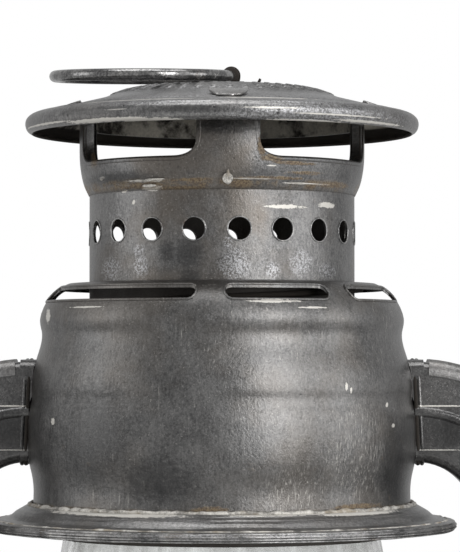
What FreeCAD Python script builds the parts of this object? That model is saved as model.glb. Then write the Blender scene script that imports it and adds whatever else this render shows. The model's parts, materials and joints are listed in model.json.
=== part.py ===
import FreeCAD, Part
import Sketcher
import math
import os

# Cold-blast tubular lantern, millimetres. Origin at the centre of the base, +Z up, front towards -Y.

SIZES = {
    # Sheet metal, wire and clearances
    "gauge": 0.5,
    "running_gap": 0.05,
    "part_gap": 0.4,
    # Fount
    "tank_radius": 53.0,
    "tank_height": 45.5,
    "tank_round": 6.5,
    "base_rim_out": 1.0,
    "base_rim_height": 3.0,
    "bead_half": 1.5,
    "bead_out": 0.8,
    "bead_high": 31.0,
    "bead_low": 9.0,
    "bottom_recess": 4.5,
    "filler_reach": 27.0,
    "filler_radius": 7.5,
    "filler_wall": 1.0,
    "filler_height": 7.0,
    "filler_foot": 0.6,
    "gasket_thick": 1.2,
    "filler_cap_wall": 1.2,
    "filler_cap_top": 2.2,
    "filler_cap_drop": 5.5,
    "knurl_radius": 0.6,
    "knurl_count": 20.0,
    "collar_radius": 21.0,
    "collar_bore": 18.0,
    "collar_height": 3.5,
    # Burner
    "cup_radius": 28.0,
    "cup_floor_hole": 21.5,
    "wick_width": 14.0,
    "wick_thick": 2.2,
    "wick_low": 20.0,
    "wick_high": 79.5,
    "wick_tube_gap": 0.6,
    "wick_tube_low": 38.0,
    "wick_tube_high": 78.0,
    "base_flange": 20.5,
    "base_neck": 14.0,
    "base_top": 55.0,
    "gallery_radius": 22.0,
    "gallery_height": 65.2,
    "gallery_hole": 1.2,
    "gallery_holes": 16.0,
    "dome_radius": 18.0,
    "dome_height": 16.5,
    "dome_slot_long": 19.0,
    "dome_slot_wide": 6.0,
    "shaft_radius": 1.0,
    "shaft_height": 61.0,
    "wheel_radius": 3.8,
    "wheel_thick": 2.0,
    "wheel_teeth": 12.0,
    "wheel_notch": 0.45,
    "bearing_wall": 1.2,
    "bearing_reach": 31.0,
    "knob_radius": 8.0,
    "knob_thick": 3.0,
    "knob_place": 43.0,
    "knob_notch": 0.8,
    "knob_notches": 18.0,
    # Side tubes
    "tube_deep": 20.0,
    "tube_wide": 10.5,
    "tube_corner": 2.2,
    "tube_bend": 22.0,
    "tube_place": 60.6,
    "tube_high": 186.1,
    "tube_low": 57.2,
    "seam_high": 2.6,
    "seam_thick": 0.6,
    "seam_short": 1.4,
    "rib_out": 0.45,
    "rib_half": 1.0,
    "tube_skins": 1.0,
    "tube_lip": 0.4,
    "tube_lip_wide": 1.3,
    "ear_height": 160.0,
    "ear_thick": 1.6,
    "ear_radius": 4.5,
    # Air chamber
    "chamber_top": 211.8,
    "chamber_radius": 38.7,
    "chamber_low": 167.6,
    "chimney_pass": 0.8,
    "shoulder_radius": 36.1,
    "shoulder_round": 9.2,
    "shoulder_flat": 30.6,
    "shoulder_low": 205.6,
    "waist_radius": 35.8,
    "waist_high": 202.2,
    "waist_low": 199.6,
    "body_high": 193.6,
    "body_radius": 37.8,
    "groove_high": 190.6,
    "swell_high": 186.8,
    "swell_low": 176.8,
    "foot_radius": 37.6,
    "foot_high": 173.4,
    "slot_inner": 32.2,
    "slot_outer": 34.9,
    "slot_angle": 31.2,
    "slot_count": 8.0,
    "slot_turn": 18.9,
    "brim_radius": 46.6,
    "brim_low": 163.0,
    "brim_roll": 0.8,
    "brim_hole": 33.8,
    # Spring
    "spring_wire": 1.2,
    "spring_turns": 5.0,
    "spring_radius": 27.9,
    "spring_foot": 168.8,
    "spring_head_gap": 0.13,
    # Globe
    "plate_height": 68.6,
    "plate_thick": 0.8,
    "plate_radius": 35.0,
    "plate_hole": 19.5,
    "plate_air_hole": 1.0,
    "globe_foot": 28.0,
    "globe_belly": 41.5,
    "globe_belly_height": 107.0,
    "globe_shoulder": 33.3,
    "globe_shoulder_height": 152.0,
    "globe_neck": 31.6,
    "globe_neck_height": 161.2,
    "globe_lip": 31.0,
    "globe_top": 165.0,
    "glass_thick": 1.8,
    "guard_wire": 1.0,
    "guard_height": 140.0,
    "guard_cross": 108.0,
    "guard_stand": 3.0,
    "guard_apart": 2.1,
    "guard_foot_angle": 24.0,
    "guard_top_angle": 23.5,
    "guard_top_over": 1.5,
    "guard_seat": 0.2,
    "hoop_radius": 39.4,
    # Chimney
    "chimney_radius": 26.5,
    "chimney_top": 231.0,
    "punch_radius": 2.3,
    "punch_height": 221.6,
    "punch_count": 19.0,
    "punch_turn": 7.4,
    "bell_radius": 33.0,
    "bell_low": 161.2,
    "bell_rise": 6.5,
    "crown_radius": 28.5,
    "crown_low": 229.0,
    "window_low": 234.0,
    "window_high": 242.8,
    "window_half": 31.8,
    "window_round": 3.0,
    "window_count": 4.0,
    "post_turn": 2.3,
    "flange_deep": 2.3,
    "tab_wide": 7.2,
    "tab_long": 3.4,
    "tab_rise": 0.9,
    "pip_radius": 1.0,
    # Cap
    "cap_radius": 39.4,
    "cap_crest_radius": 15.5,
    "cap_crest": 250.8,
    "cap_dish": 249.9,
    "cap_rim": 241.4,
    # Ring and clip
    "ring_radius": 17.65,
    "ring_wire": 1.15,
    "ring_height": 253.2,
    "ring_clip_place": 1.85,
    "clip_foot_long": 4.6,
    "rivet_radius": 0.8,
    "rivet_place": 4.85,
    "ring_roll": 4.0,
    "clip_thick": 0.4,
    "clip_wide": 4.0,
    "clip_gap": 0.3,
    # Lift lever
    "lever_arm": 26.6,
    "lever_drop": 15.05,
    "lever_handle": 13.0,
    "lever_thick": 1.5,
    "lever_half": 2.0,
    "lever_off": 2.0,
    "lever_pin": 1.5,
    "pivot_head": 1.2,
    "lever_tip_gap": 0.6,
    "lug_long": 1.9,
    "lug_wide": 5.4,
    # Bail
    "bail_wire": 1.5,
    "bail_end_bend": 3.0,
    "bail_depth": 110.0,
    "bail_bend": 50.0,
    "bail_lean": 15.8,
}

doc = FreeCAD.newDocument("lantern")
sheet = doc.addObject("Spreadsheet::Sheet", "Sizes")
for line, (word, number) in enumerate(SIZES.items(), start=1):
    sheet.set(f"A{line}", word)
    sheet.set(f"B{line}", str(number))
    sheet.setAlias(f"B{line}", word)
doc.recompute()


class Size:
    """A number together with the spreadsheet formula that it comes from."""

    def __init__(self, number, formula):
        self.number = float(number)
        self.formula = formula

    def __float__(self):
        return self.number

    def __add__(self, other):
        other = as_size(other)
        return Size(self.number + other.number, f"({self.formula} + {other.formula})")

    def __sub__(self, other):
        other = as_size(other)
        return Size(self.number - other.number, f"({self.formula} - {other.formula})")

    def __mul__(self, other):
        other = as_size(other)
        return Size(self.number * other.number, f"({self.formula} * {other.formula})")

    def __truediv__(self, other):
        other = as_size(other)
        return Size(self.number / other.number, f"({self.formula} / {other.formula})")

    def __neg__(self):
        return Size(-self.number, f"(0 - {self.formula})")

    __radd__ = __add__
    __rmul__ = __mul__

    def __rsub__(self, other):
        return as_size(other) - self


def as_size(value):
    return value if isinstance(value, Size) else Size(value, repr(float(value)))


def sine(degrees):
    return Size(math.sin(math.radians(float(degrees))), f"sin({as_size(degrees).formula} * 1deg)")


class Sizes:
    """The sheet's sizes by name."""

    def __getattr__(self, word):
        return Size(sheet.get(word), f"Sizes.{word}")


s = Sizes()


def bind(item, prop, value):
    """Set a property and tie it to the sheet."""
    value = as_size(value)
    setattr(item, prop, value.number)
    item.setExpression(prop, value.formula)


def new_body(label):
    body = doc.addObject("PartDesign::Body", label)
    body.Label = label
    return body


def origin_item(body, role):
    return next(item for item in body.Origin.OriginFeatures if item.Role == role)


def tie(sketch, constraint, value):
    """Add a dimension to a sketch and tie it to the sheet."""
    index = sketch.addConstraint(constraint)
    sketch.setExpression(f"Constraints[{index}]", as_size(value).formula)


def place_point(sketch, geometry, end, across, up):
    """Fix one point of a sketch by its distances from the sketch's origin."""
    for kind, value, axis in (("DistanceX", across, -2), ("DistanceY", up, -1)):
        number = float(value)
        if abs(number) < 1e-9:
            sketch.addConstraint(Sketcher.Constraint("PointOnObject", geometry, end, axis))
        else:
            tie(sketch, Sketcher.Constraint(kind, geometry, end, number), value)


def arc_centre(start, end, radius):
    """The centre left of the way from start to end, or right of it for a negative radius."""
    chord = end - start
    middle = (start + end) * 0.5
    left = FreeCAD.Vector(-chord.y, chord.x, 0).normalize()
    away = math.sqrt(max(radius * radius - chord.Length**2 / 4, 0.0))
    return middle + left * math.copysign(away, radius)


def new_sketch(body, name, plane, offset=0, turn=0):
    """A sketch on one of the body's origin planes, moved off it and turned in it."""
    sketch = body.newObject("Sketcher::SketchObject", name)
    sketch.AttachmentSupport = (origin_item(body, plane), [""])
    sketch.MapMode = "FlatFace"
    spin = FreeCAD.Rotation(FreeCAD.Vector(0, 0, 1), turn)
    sketch.AttachmentOffset = FreeCAD.Placement(FreeCAD.Vector(0, 0, float(offset)), spin)
    if isinstance(offset, Size):
        sketch.setExpression(".AttachmentOffset.Base.z", offset.formula)
    return sketch


def draw_outline(sketch, corners, closed=True):
    """Lines and arcs through corners of (across, up) or, with an arc to the next corner, (across, up, radius)."""
    points = [FreeCAD.Vector(float(c[0]), float(c[1]), 0) for c in corners]
    count = len(corners) if closed else len(corners) - 1
    starts, ends = [], []
    for i in range(count):
        a, b = points[i], points[(i + 1) % len(points)]
        if len(corners[i]) < 3:
            index = sketch.addGeometry(Part.LineSegment(a, b), False)
            starts.append((index, 1))
            ends.append((index, 2))
            continue
        radius = float(corners[i][2])
        centre = arc_centre(a, b, radius)
        first, last = (a, b) if radius > 0 else (b, a)
        angle = [math.atan2(p.y - centre.y, p.x - centre.x) for p in (first, last)]
        circle = Part.Circle(centre, FreeCAD.Vector(0, 0, 1), abs(radius))
        index = sketch.addGeometry(Part.ArcOfCircle(circle, angle[0], angle[1]), False)
        starts.append((index, 1 if radius > 0 else 2))
        ends.append((index, 2 if radius > 0 else 1))
        size = as_size(corners[i][2])
        tie(sketch, Sketcher.Constraint("Radius", index, abs(radius)), size if radius > 0 else -size)
    for i in range(count):
        following = (i + 1) % len(points)
        if following < count:
            sketch.addConstraint(Sketcher.Constraint("Coincident", *ends[i], *starts[following]))
        place_point(sketch, *starts[i], corners[i][0], corners[i][1])
    if not closed:
        place_point(sketch, *ends[-1], corners[-1][0], corners[-1][1])


def draw_circle(sketch, across, up, radius):
    centre = FreeCAD.Vector(float(across), float(up), 0)
    circle = Part.Circle(centre, FreeCAD.Vector(0, 0, 1), float(radius))
    index = sketch.addGeometry(circle, False)
    place_point(sketch, index, 3, across, up)
    tie(sketch, Sketcher.Constraint("Radius", index, float(radius)), radius)


def skin(path, thick):
    """The closed outline of a sheet of one thickness that lies right of the path along its outer face."""
    points = [FreeCAD.Vector(float(c[0]), float(c[1]), 0) for c in path]
    leave, arrive = [], []
    for i in range(len(path) - 1):
        a, b = points[i], points[i + 1]
        if len(path[i]) < 3:
            way = (b - a).normalize()
            leave.append(way)
            arrive.append(way)
            continue
        radius = float(path[i][2])
        centre = arc_centre(a, b, radius)
        turn = 1 if radius > 0 else -1
        for point, ways in ((a, leave), (b, arrive)):
            spoke = (point - centre).normalize()
            ways.append(FreeCAD.Vector(-spoke.y, spoke.x, 0) * turn)
    inner = []
    for i, corner in enumerate(path):
        ways = ([arrive[i - 1]] if i > 0 else []) + ([leave[i]] if i < len(leave) else [])
        normals = [FreeCAD.Vector(way.y, -way.x, 0) for way in ways]
        total = normals[0] if len(normals) == 1 else (normals[0] + normals[1]) * (
            1 / (1 + normals[0].dot(normals[1]))
        )
        point = [corner[0] + thick * round(total.x, 6), corner[1] + thick * round(total.y, 6)]
        inner.append(point)
    back = []
    for i in reversed(range(len(path))):
        point = list(inner[i])
        if i > 0 and len(path[i - 1]) == 3:
            point.append(-(path[i - 1][2] + thick))
        back.append(tuple(point))
    return [tuple(c) for c in path[:-1]] + [tuple(path[-1][:2])] + back


def revolve(body, name, corners, cut=False):
    sketch = new_sketch(body, name + "_profile", "XZ_Plane")
    draw_outline(sketch, corners)
    kind = "PartDesign::Groove" if cut else "PartDesign::Revolution"
    feature = body.newObject(kind, name)
    feature.Profile = sketch
    feature.ReferenceAxis = (sketch, ["V_Axis"])
    feature.Angle = 360
    body.Tip = feature
    return feature


def pad(body, name, plane, corners, length, offset=0, both=False, back=False, cut=False, turn=0):
    """Pad or pocket of an outline, or of circles given as (across, up, radius) triples in a tuple."""
    sketch = new_sketch(body, name + "_profile", plane, offset, turn)
    if isinstance(corners, tuple):
        for circle in corners:
            draw_circle(sketch, *circle)
    else:
        draw_outline(sketch, corners)
    feature = body.newObject("PartDesign::Pocket" if cut else "PartDesign::Pad", name)
    feature.Profile = sketch
    bind(feature, "Length", length)
    feature.Midplane = both
    feature.Reversed = back
    body.Tip = feature
    return feature


def around(body, name, originals, count, axis="Z_Axis"):
    """Repeat features all the way round one of the body's axes."""
    pattern = body.newObject("PartDesign::PolarPattern", name)
    pattern.Originals = originals
    pattern.Axis = (origin_item(body, axis), [""])
    pattern.Angle = 360
    pattern.Occurrences = int(round(float(count)))
    pattern.setExpression("Occurrences", as_size(count).formula)
    body.Tip = pattern
    return pattern


def step(first, last):
    """Two arcs that carry a falling wall smoothly from one (across, up) point to another, as three corners."""
    wide = last[0] - first[0]
    tall = first[1] - last[1]
    radius = (wide * wide + tall * tall) / (4 * wide)
    middle = ((first[0] + last[0]) / 2, (first[1] + last[1]) / 2)
    return [(*first, radius), (*middle, -radius), last]


def across(corners, side):
    """An outline as it is, or for side -1 with its across values turned about."""
    return [(c[0] * side, c[1], *[radius * side for radius in c[2:]]) for c in corners]


def box(left, right, low, high):
    return [(left, low), (right, low), (right, high), (left, high)]


def rounded_box(left, right, low, high, radius):
    return [
        (left + radius, low),
        (right - radius, low, radius),
        (right, low + radius),
        (right, high - radius, radius),
        (right - radius, high),
        (left + radius, high, radius),
        (left, high - radius),
        (left, low + radius, radius),
    ]


def turned(body, degrees, place=(0, 0, 0), axis=(0, 0, 1)):
    body.Placement = FreeCAD.Placement(
        FreeCAD.Vector(*[float(p) for p in place]), FreeCAD.Rotation(FreeCAD.Vector(*axis), float(degrees))
    )


# Fount
collar_top = s.tank_height + s.collar_height


def make_tank_shell():
    body = new_body("tank_shell")
    bead = (s.bead_half * s.bead_half + s.bead_out * s.bead_out) / (2 * s.bead_out)
    side = s.tank_radius
    path = [
        (s.collar_bore, s.tank_height),
        (side - s.tank_round, s.tank_height, -s.tank_round),
        (side, s.tank_height - s.tank_round),
        (side, s.bead_high + s.bead_half, -bead),
        (side, s.bead_high - s.bead_half),
        (side, s.bead_low + s.bead_half, -bead),
        (side, s.bead_low - s.bead_half),
        (side, s.base_rim_height + s.base_rim_out),
        (side + s.base_rim_out, s.base_rim_height),
        (side + s.base_rim_out, 0),
    ]
    revolve(body, "tank_wall", skin(path, s.gauge))
    bore = s.filler_radius - s.filler_wall
    pad(body, "filler_hole", "XY_Plane", ((-s.filler_reach, -s.filler_reach, bore),), s.tank_round, s.tank_height + 1,
        cut=True)
    return body


def make_tank_bottom():
    body = new_body("tank_bottom")
    inner = s.tank_radius - s.gauge
    outline = [
        (0, s.bottom_recess + 0.3),
        (inner - 3, s.bottom_recess),
        (inner - s.gauge, s.bottom_recess),
        (inner - s.gauge, s.bottom_recess - 2.5),
        (inner, s.bottom_recess - 2.5),
        (inner, s.bottom_recess + s.gauge),
        (inner - 3, s.bottom_recess + s.gauge),
        (0, s.bottom_recess + s.gauge + 0.3),
    ]
    revolve(body, "bottom_plate", outline)
    return body


def make_filler():
    place = (-s.filler_reach, -s.filler_reach, 0)
    low = s.tank_height
    top = s.tank_height + s.filler_height
    outer = s.filler_radius
    bore = outer - s.filler_wall
    neck = new_body("filler_neck")
    foot = outer + s.filler_foot
    revolve(neck, "neck_wall", [
        (bore, low), (foot, low), (foot, low + s.filler_foot), (outer, low + s.filler_foot * 2), (outer, top), (bore, top),
    ])
    gasket = new_body("filler_gasket")
    revolve(gasket, "gasket_ring", box(bore, outer, top, top + s.gasket_thick))
    cap = new_body("filler_cap")
    seat = top + s.gasket_thick
    inner = outer + s.part_gap
    rim = inner + s.filler_cap_wall
    cap_low = seat - s.filler_cap_drop
    profile = [
        (0, seat),
        (inner, seat),
        (inner, cap_low),
        (rim, cap_low),
        (rim, seat + s.filler_cap_top - 1, 1.0),
        (rim - 1, seat + s.filler_cap_top),
        (0, seat + s.filler_cap_top),
    ]
    revolve(cap, "cap_turned", profile)
    groove = pad(cap, "knurl", "XY_Plane", ((rim + s.knurl_radius * 0.4, 0, s.knurl_radius),),
                 s.filler_cap_drop, cap_low + s.filler_cap_drop, cut=True)
    around(cap, "knurls", [groove], s.knurl_count)
    for body in (neck, gasket, cap):
        turned(body, 0, place)
    return [neck, gasket, cap]


def make_burner_collar():
    body = new_body("burner_collar")
    revolve(body, "collar_ring", [
        (s.collar_bore, s.tank_height), (s.collar_radius, s.tank_height),
        (s.collar_radius, s.tank_height + 1), (s.collar_radius - 1, s.tank_height + 1),
        (s.collar_radius - 1, collar_top), (s.collar_bore, collar_top),
    ])
    return body


# Burner
cup_low = s.tank_height + 0.5
wick_hole_x = s.wick_thick / 2 + s.wick_tube_gap
wick_hole_y = s.wick_width / 2 + s.wick_tube_gap
shaft_x = s.wick_thick / 2 + s.part_gap + s.wheel_radius


def tube_hollow(middle):
    """Rounded section of a side tube's inside about a height, across by up."""
    half = s.tube_wide / 2 - s.tube_skins
    deep = s.tube_deep / 2 - s.gauge
    return rounded_box(-half, half, middle - deep, middle + deep, s.tube_corner - s.gauge)


def tube_section(middle, grow=0):
    """Outer section of a side tube: a rounded box with a pressed rib along the middle of each broad face."""
    half = s.tube_wide / 2 + grow
    deep = s.tube_deep / 2 + grow
    corner = s.tube_corner + grow
    rib = s.rib_half
    out = half + s.rib_out
    rib_arc = (rib * rib + s.rib_out * s.rib_out) / (2 * s.rib_out)
    return [
        (-half + corner, middle - deep),
        (half - corner, middle - deep, corner),
        (half, middle - deep + corner),
        (half, middle - rib, rib_arc),
        (out, middle, rib_arc),
        (half, middle + rib),
        (half, middle + deep - corner, corner),
        (half - corner, middle + deep),
        (-half + corner, middle + deep, corner),
        (-half, middle + deep - corner),
        (-half, middle + rib, rib_arc),
        (-out, middle, rib_arc),
        (-half, middle - rib),
        (-half, middle - deep + corner, corner),
    ]


def make_burner_cup():
    body = new_body("burner_cup")
    outer = s.cup_radius
    wall = s.gauge
    revolve(body, "cup_wall", [
        (s.cup_floor_hole, cup_low), (outer, cup_low), (outer, s.plate_height),
        (outer - 1.5, s.plate_height), (outer - 1.5, s.plate_height - wall),
        (outer - wall, s.plate_height - wall), (outer - wall, cup_low + wall), (s.cup_floor_hole, cup_low + wall),
    ])
    pad(body, "tube_windows", "YZ_Plane", tube_hollow(s.tube_low), s.cup_radius * 3, both=True, cut=True)
    bearing = s.shaft_radius + s.running_gap + s.bearing_wall
    pad(body, "shaft_window", "XZ_Plane", ((shaft_x, s.shaft_height, bearing),), s.cup_radius * 2, cut=True, back=True)
    return body


def make_burner_base():
    body = new_body("burner_base")
    flange = collar_top + 1.0
    profile = [
        (0, s.tank_height - 4), (s.collar_bore - s.running_gap, s.tank_height - 4),
        (s.collar_bore - s.running_gap, collar_top), (s.base_flange, collar_top), (s.base_flange, flange),
        (s.base_neck, flange + 1.5), (s.base_neck, s.base_top), (0, s.base_top),
    ]
    revolve(body, "base_turned", profile)
    bearing = s.shaft_radius + s.running_gap + s.bearing_wall
    housing = bearing + 1
    pad(body, "bearing_block", "XZ_Plane", box(shaft_x - housing, shaft_x + housing, s.base_top - 1, s.shaft_height),
        3.0, offset=s.base_neck - 3.5)
    pad(body, "bearing_tube", "XZ_Plane", ((shaft_x, s.shaft_height, bearing),), s.bearing_reach - s.base_neck + 3.5,
        offset=s.base_neck - 3.5)
    pad(body, "bearing_bore", "XZ_Plane", ((shaft_x, s.shaft_height, s.shaft_radius + s.running_gap),),
        s.bearing_reach * 2, offset=s.bearing_reach * 1.5, cut=True)
    pad(body, "wick_way", "XY_Plane",
        box(-wick_hole_x - s.gauge, wick_hole_x + s.gauge, -wick_hole_y - s.gauge, wick_hole_y + s.gauge),
        s.tank_height, offset=s.base_top + 2, cut=True)
    return body


def make_wick_tube():
    body = new_body("wick_tube")
    pad(body, "tube_outside", "XY_Plane",
        box(-wick_hole_x - s.gauge, wick_hole_x + s.gauge, -wick_hole_y - s.gauge, wick_hole_y + s.gauge),
        s.wick_tube_high - s.wick_tube_low, offset=s.wick_tube_low)
    pad(body, "tube_inside", "XY_Plane", box(-wick_hole_x, wick_hole_x, -wick_hole_y, wick_hole_y),
        s.wick_tube_high, offset=s.wick_tube_high + 1, cut=True)
    tall = s.wheel_radius + s.part_gap
    half = s.wheel_thick / 2 + s.part_gap
    pad(body, "wheel_slot", "YZ_Plane", box(-half, half, s.shaft_height - tall, s.shaft_height + tall),
        s.wick_thick * 3, cut=True, back=True)
    return body


def make_wick():
    body = new_body("wick")
    half_x, half_y = s.wick_thick / 2, s.wick_width / 2
    pad(body, "wick_strip", "XY_Plane", box(-half_x, half_x, -half_y, half_y), s.wick_high - s.wick_low,
        offset=s.wick_low)
    return body


def make_wick_shaft():
    shaft = new_body("wick_shaft")
    pad(shaft, "shaft_rod", "XZ_Plane", ((shaft_x, s.shaft_height, s.shaft_radius),),
        s.knob_place + s.knob_thick + s.wheel_thick, offset=-s.wheel_thick)
    wheel = new_body("wick_wheel")
    pad(wheel, "wheel_disc", "XZ_Plane", ((0, 0, s.wheel_radius),), s.wheel_thick, both=True)
    pad(wheel, "wheel_bore", "XZ_Plane", ((0, 0, s.shaft_radius),), s.wheel_thick * 3, both=True, cut=True)
    notch = pad(wheel, "wheel_notch", "XZ_Plane", ((s.wheel_radius, 0, s.wheel_notch),), s.wheel_thick * 3,
                both=True, cut=True)
    around(wheel, "wheel_teeth", [notch], s.wheel_teeth, "Y_Axis")
    turned(wheel, 0, (shaft_x, 0, s.shaft_height))
    knob = new_body("wick_knob")
    knob_place = -(s.knob_place + s.knob_thick / 2)
    pad(knob, "knob_disc", "XZ_Plane", ((0, 0, s.knob_radius),), s.knob_thick, both=True)
    pad(knob, "knob_bore", "XZ_Plane", ((0, 0, s.shaft_radius),), s.knob_thick * 3, both=True, cut=True)
    notch_place = s.knob_radius + s.knob_notch * 0.4
    notch = pad(knob, "knob_notch", "XZ_Plane", ((notch_place, 0, s.knob_notch),), s.knob_thick * 3,
                both=True, cut=True)
    around(knob, "knob_knurl", [notch], s.knob_notches, "Y_Axis")
    turned(knob, 0, (shaft_x, knob_place, s.shaft_height))
    return [shaft, wheel, knob]


def make_gallery():
    body = new_body("burner_gallery")
    low = s.gallery_height
    revolve(body, "gallery_disc", [
        (0, low), (s.dome_radius, low), (s.gallery_radius - s.gauge, low), (s.gallery_radius - s.gauge, low - 1.5),
        (s.gallery_radius, low - 1.5), (s.gallery_radius, low + s.gauge), (0, low + s.gauge),
    ])
    pad(body, "wick_opening", "XY_Plane",
        box(-wick_hole_x - s.gauge, wick_hole_x + s.gauge, -wick_hole_y - s.gauge, wick_hole_y + s.gauge),
        3.0, offset=low + 2, cut=True)
    hole = pad(body, "air_hole", "XY_Plane", ((s.dome_radius - 4, 0, s.gallery_hole),), 3.0, offset=low + 2, cut=True)
    around(body, "air_holes", [hole], s.gallery_holes)
    return body


def make_dome():
    body = new_body("burner_dome")
    low = s.gallery_height + s.gauge
    top = low + s.dome_height
    outer = s.dome_radius
    path = [(0, top, -(outer * 1.2)), (outer - 1.5, low + 5.5), (outer - 1.0, low + s.gauge)]
    corners = skin(path, s.gauge)
    corners[-1] = (0,) + tuple(corners[-1][1:])
    revolve(body, "dome_shell", corners)
    half_x, half_y = s.dome_slot_wide / 2, s.dome_slot_long / 2
    pad(body, "flame_slot", "XY_Plane", box(-half_x, half_x, -half_y, half_y), s.dome_height, offset=top + 1,
        cut=True)
    return body


# Side tubes
lever_height = s.plate_height - s.lever_half - s.lever_tip_gap + s.lever_arm * sine(s.lever_drop)


def tube_route(side):
    """The tube's middle line from the cup to the chamber, across by up."""
    place = s.tube_place * side
    bend = s.tube_bend
    start = (s.cup_radius - 3) * side
    end = (s.chamber_radius - 3) * side
    turn = bend * side
    return [
        (start, s.tube_low),
        (place - turn, s.tube_low, turn),
        (place, s.tube_low + bend),
        (place, s.tube_high - bend, turn),
        (place - turn, s.tube_high),
        (end, s.tube_high),
    ]


def sweep(body, name, kind, corners, start, route):
    """Carry an outline, drawn across the X axis at start, along a route."""
    section = new_sketch(body, name, "YZ_Plane", start)
    draw_outline(section, corners)
    pipe = body.newObject(f"PartDesign::{kind}", f"{name}_pipe")
    pipe.Profile = section
    pipe.Spine = route
    body.Tip = pipe


def make_air_tube(side, word):
    body = new_body(f"air_tube_{word}")
    route = new_sketch(body, f"route_{word}", "XZ_Plane")
    draw_outline(route, tube_route(side), closed=False)
    start = (s.cup_radius - 3) * side
    sweep(body, f"outside_{word}", "AdditivePipe", tube_section(s.tube_low), start, route)
    lip = s.chamber_radius + s.tube_lip_wide
    pad(body, f"tube_lip_{word}", "YZ_Plane", tube_section(s.tube_high, s.tube_lip), s.tube_lip_wide * 3,
        offset=lip * side, back=side > 0)
    sweep(body, f"inside_{word}", "SubtractivePipe", tube_hollow(s.tube_low), start, route)
    revolve(body, f"chamber_fit_{word}", across(chamber_plug(), -side), cut=True)
    revolve(body, f"cup_fit_{word}", box(0, s.cup_radius, s.tank_height, s.plate_height), cut=True)
    if side > 0:
        seat = s.lever_pin + s.pivot_head + s.running_gap
        pad(body, "pivot_seat", "XZ_Plane", ((s.tube_place, lever_height, seat),), s.rib_out * 3,
            offset=s.tube_wide / 2, cut=True, back=True)
    return body


ear_face = s.tube_place + s.tube_deep / 2 + s.seam_thick


def make_seam(side, word):
    """Lapped seam that wraps the outer edge of a side tube."""
    body = new_body(f"tube_seam_{word}")
    route = new_sketch(body, f"seam_route_{word}", "XZ_Plane")
    draw_outline(route, tube_route(side), closed=False)
    thick, corner = s.seam_thick, s.tube_corner
    half = s.tube_wide / 2
    low = s.tube_low - s.tube_deep / 2
    high = low + s.seam_high
    outline = [
        (-half - thick, high),
        (-half - thick, low + corner, corner + thick),
        (-half + corner, low - thick),
        (half - corner, low - thick, corner + thick),
        (half + thick, low + corner),
        (half + thick, high),
        (half, high),
        (half, low + corner, -corner),
        (half - corner, low),
        (-half + corner, low, -corner),
        (-half, low + corner),
        (-half, high),
    ]
    sweep(body, f"seam_section_{word}", "AdditivePipe", outline, (s.cup_radius - 3) * side, route)
    stop = s.chamber_radius + s.tube_lip_wide + s.seam_short
    revolve(body, f"seam_chamber_fit_{word}", box(0, stop, s.chamber_low, s.chamber_top), cut=True)
    revolve(body, f"seam_cup_fit_{word}", box(0, s.cup_radius, s.tank_height, s.plate_height), cut=True)
    return body


def make_ear(side, word):
    """Eyelet on the outer face of a side tube, with the bore for the bail along X."""
    body = new_body(f"bail_ear_{word}")
    face = ear_face * side
    pad(body, f"ear_plate_{word}", "YZ_Plane", ((0, s.ear_height, s.ear_radius),), s.ear_thick, offset=face,
        back=side < 0)
    bore = s.bail_wire + s.running_gap
    pad(body, f"ear_bore_{word}", "YZ_Plane", ((0, s.ear_height, bore),), s.ear_thick * 2, offset=face,
        both=True, cut=True)
    return body


def make_lever_pivot():
    body = new_body("lever_pivot")
    face = s.tube_wide / 2
    reach = s.lever_off + s.lever_thick + s.running_gap * 2
    pad(body, "pivot_pin", "XZ_Plane", ((s.tube_place, lever_height, s.lever_pin),), reach, offset=face)
    pad(body, "pivot_head", "XZ_Plane", ((s.tube_place, lever_height, s.lever_pin + s.pivot_head),), 0.8,
        offset=face + reach)
    pad(body, "pivot_washer", "XZ_Plane", ((s.tube_place, lever_height, s.lever_pin + s.pivot_head),),
        s.lever_off - s.running_gap, offset=face)
    return body


# Air chamber
# The web between two shoulder slots that is torn out, counted in slots from the first one.
TORN_WEB = 1.5


def chamber_outer():
    """The chamber's outer face from its neck down to the brim."""
    return [
        (s.chimney_radius + s.chimney_pass, s.chamber_top),
        (s.shoulder_flat, s.chamber_top - 0.2, -s.shoulder_round),
        (s.shoulder_radius, s.shoulder_low),
        *step((s.shoulder_radius, s.shoulder_low - 0.1), (s.waist_radius, s.waist_high)),
        *step((s.waist_radius, s.waist_low), (s.body_radius, s.body_high)),
        *step((s.body_radius, s.groove_high), (s.chamber_radius, s.swell_high)),
        *step((s.chamber_radius, s.swell_low), (s.foot_radius, s.foot_high)),
        (s.foot_radius, s.chamber_low + 2.0),
        (s.foot_radius + 0.4, s.chamber_low + 0.8),
        (s.foot_radius + 0.4, s.chamber_low),
    ]


def chamber_plug():
    """The room that the chamber takes, for what ends against it."""
    return [(0, s.chamber_top)] + chamber_outer()[1:] + [(0, s.chamber_low)]


def shoulder_slot(half_angle):
    """A slot bent about the axis, with round ends, half an angle to either side of the X axis."""
    cos, sin = sine(90 - half_angle), sine(half_angle)
    inner, outer = s.slot_inner, s.slot_outer
    middle, end = (inner + outer) / 2, (outer - inner) / 2
    tip_x = middle * cos - end * sin
    tip_y = middle * sin + end * cos
    return [
        (outer * cos, -outer * sin, outer),
        (outer * cos, outer * sin, end),
        (tip_x, tip_y, end),
        (inner * cos, inner * sin, -inner),
        (inner * cos, -inner * sin, end),
        (tip_x, -tip_y, end),
    ]


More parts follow.
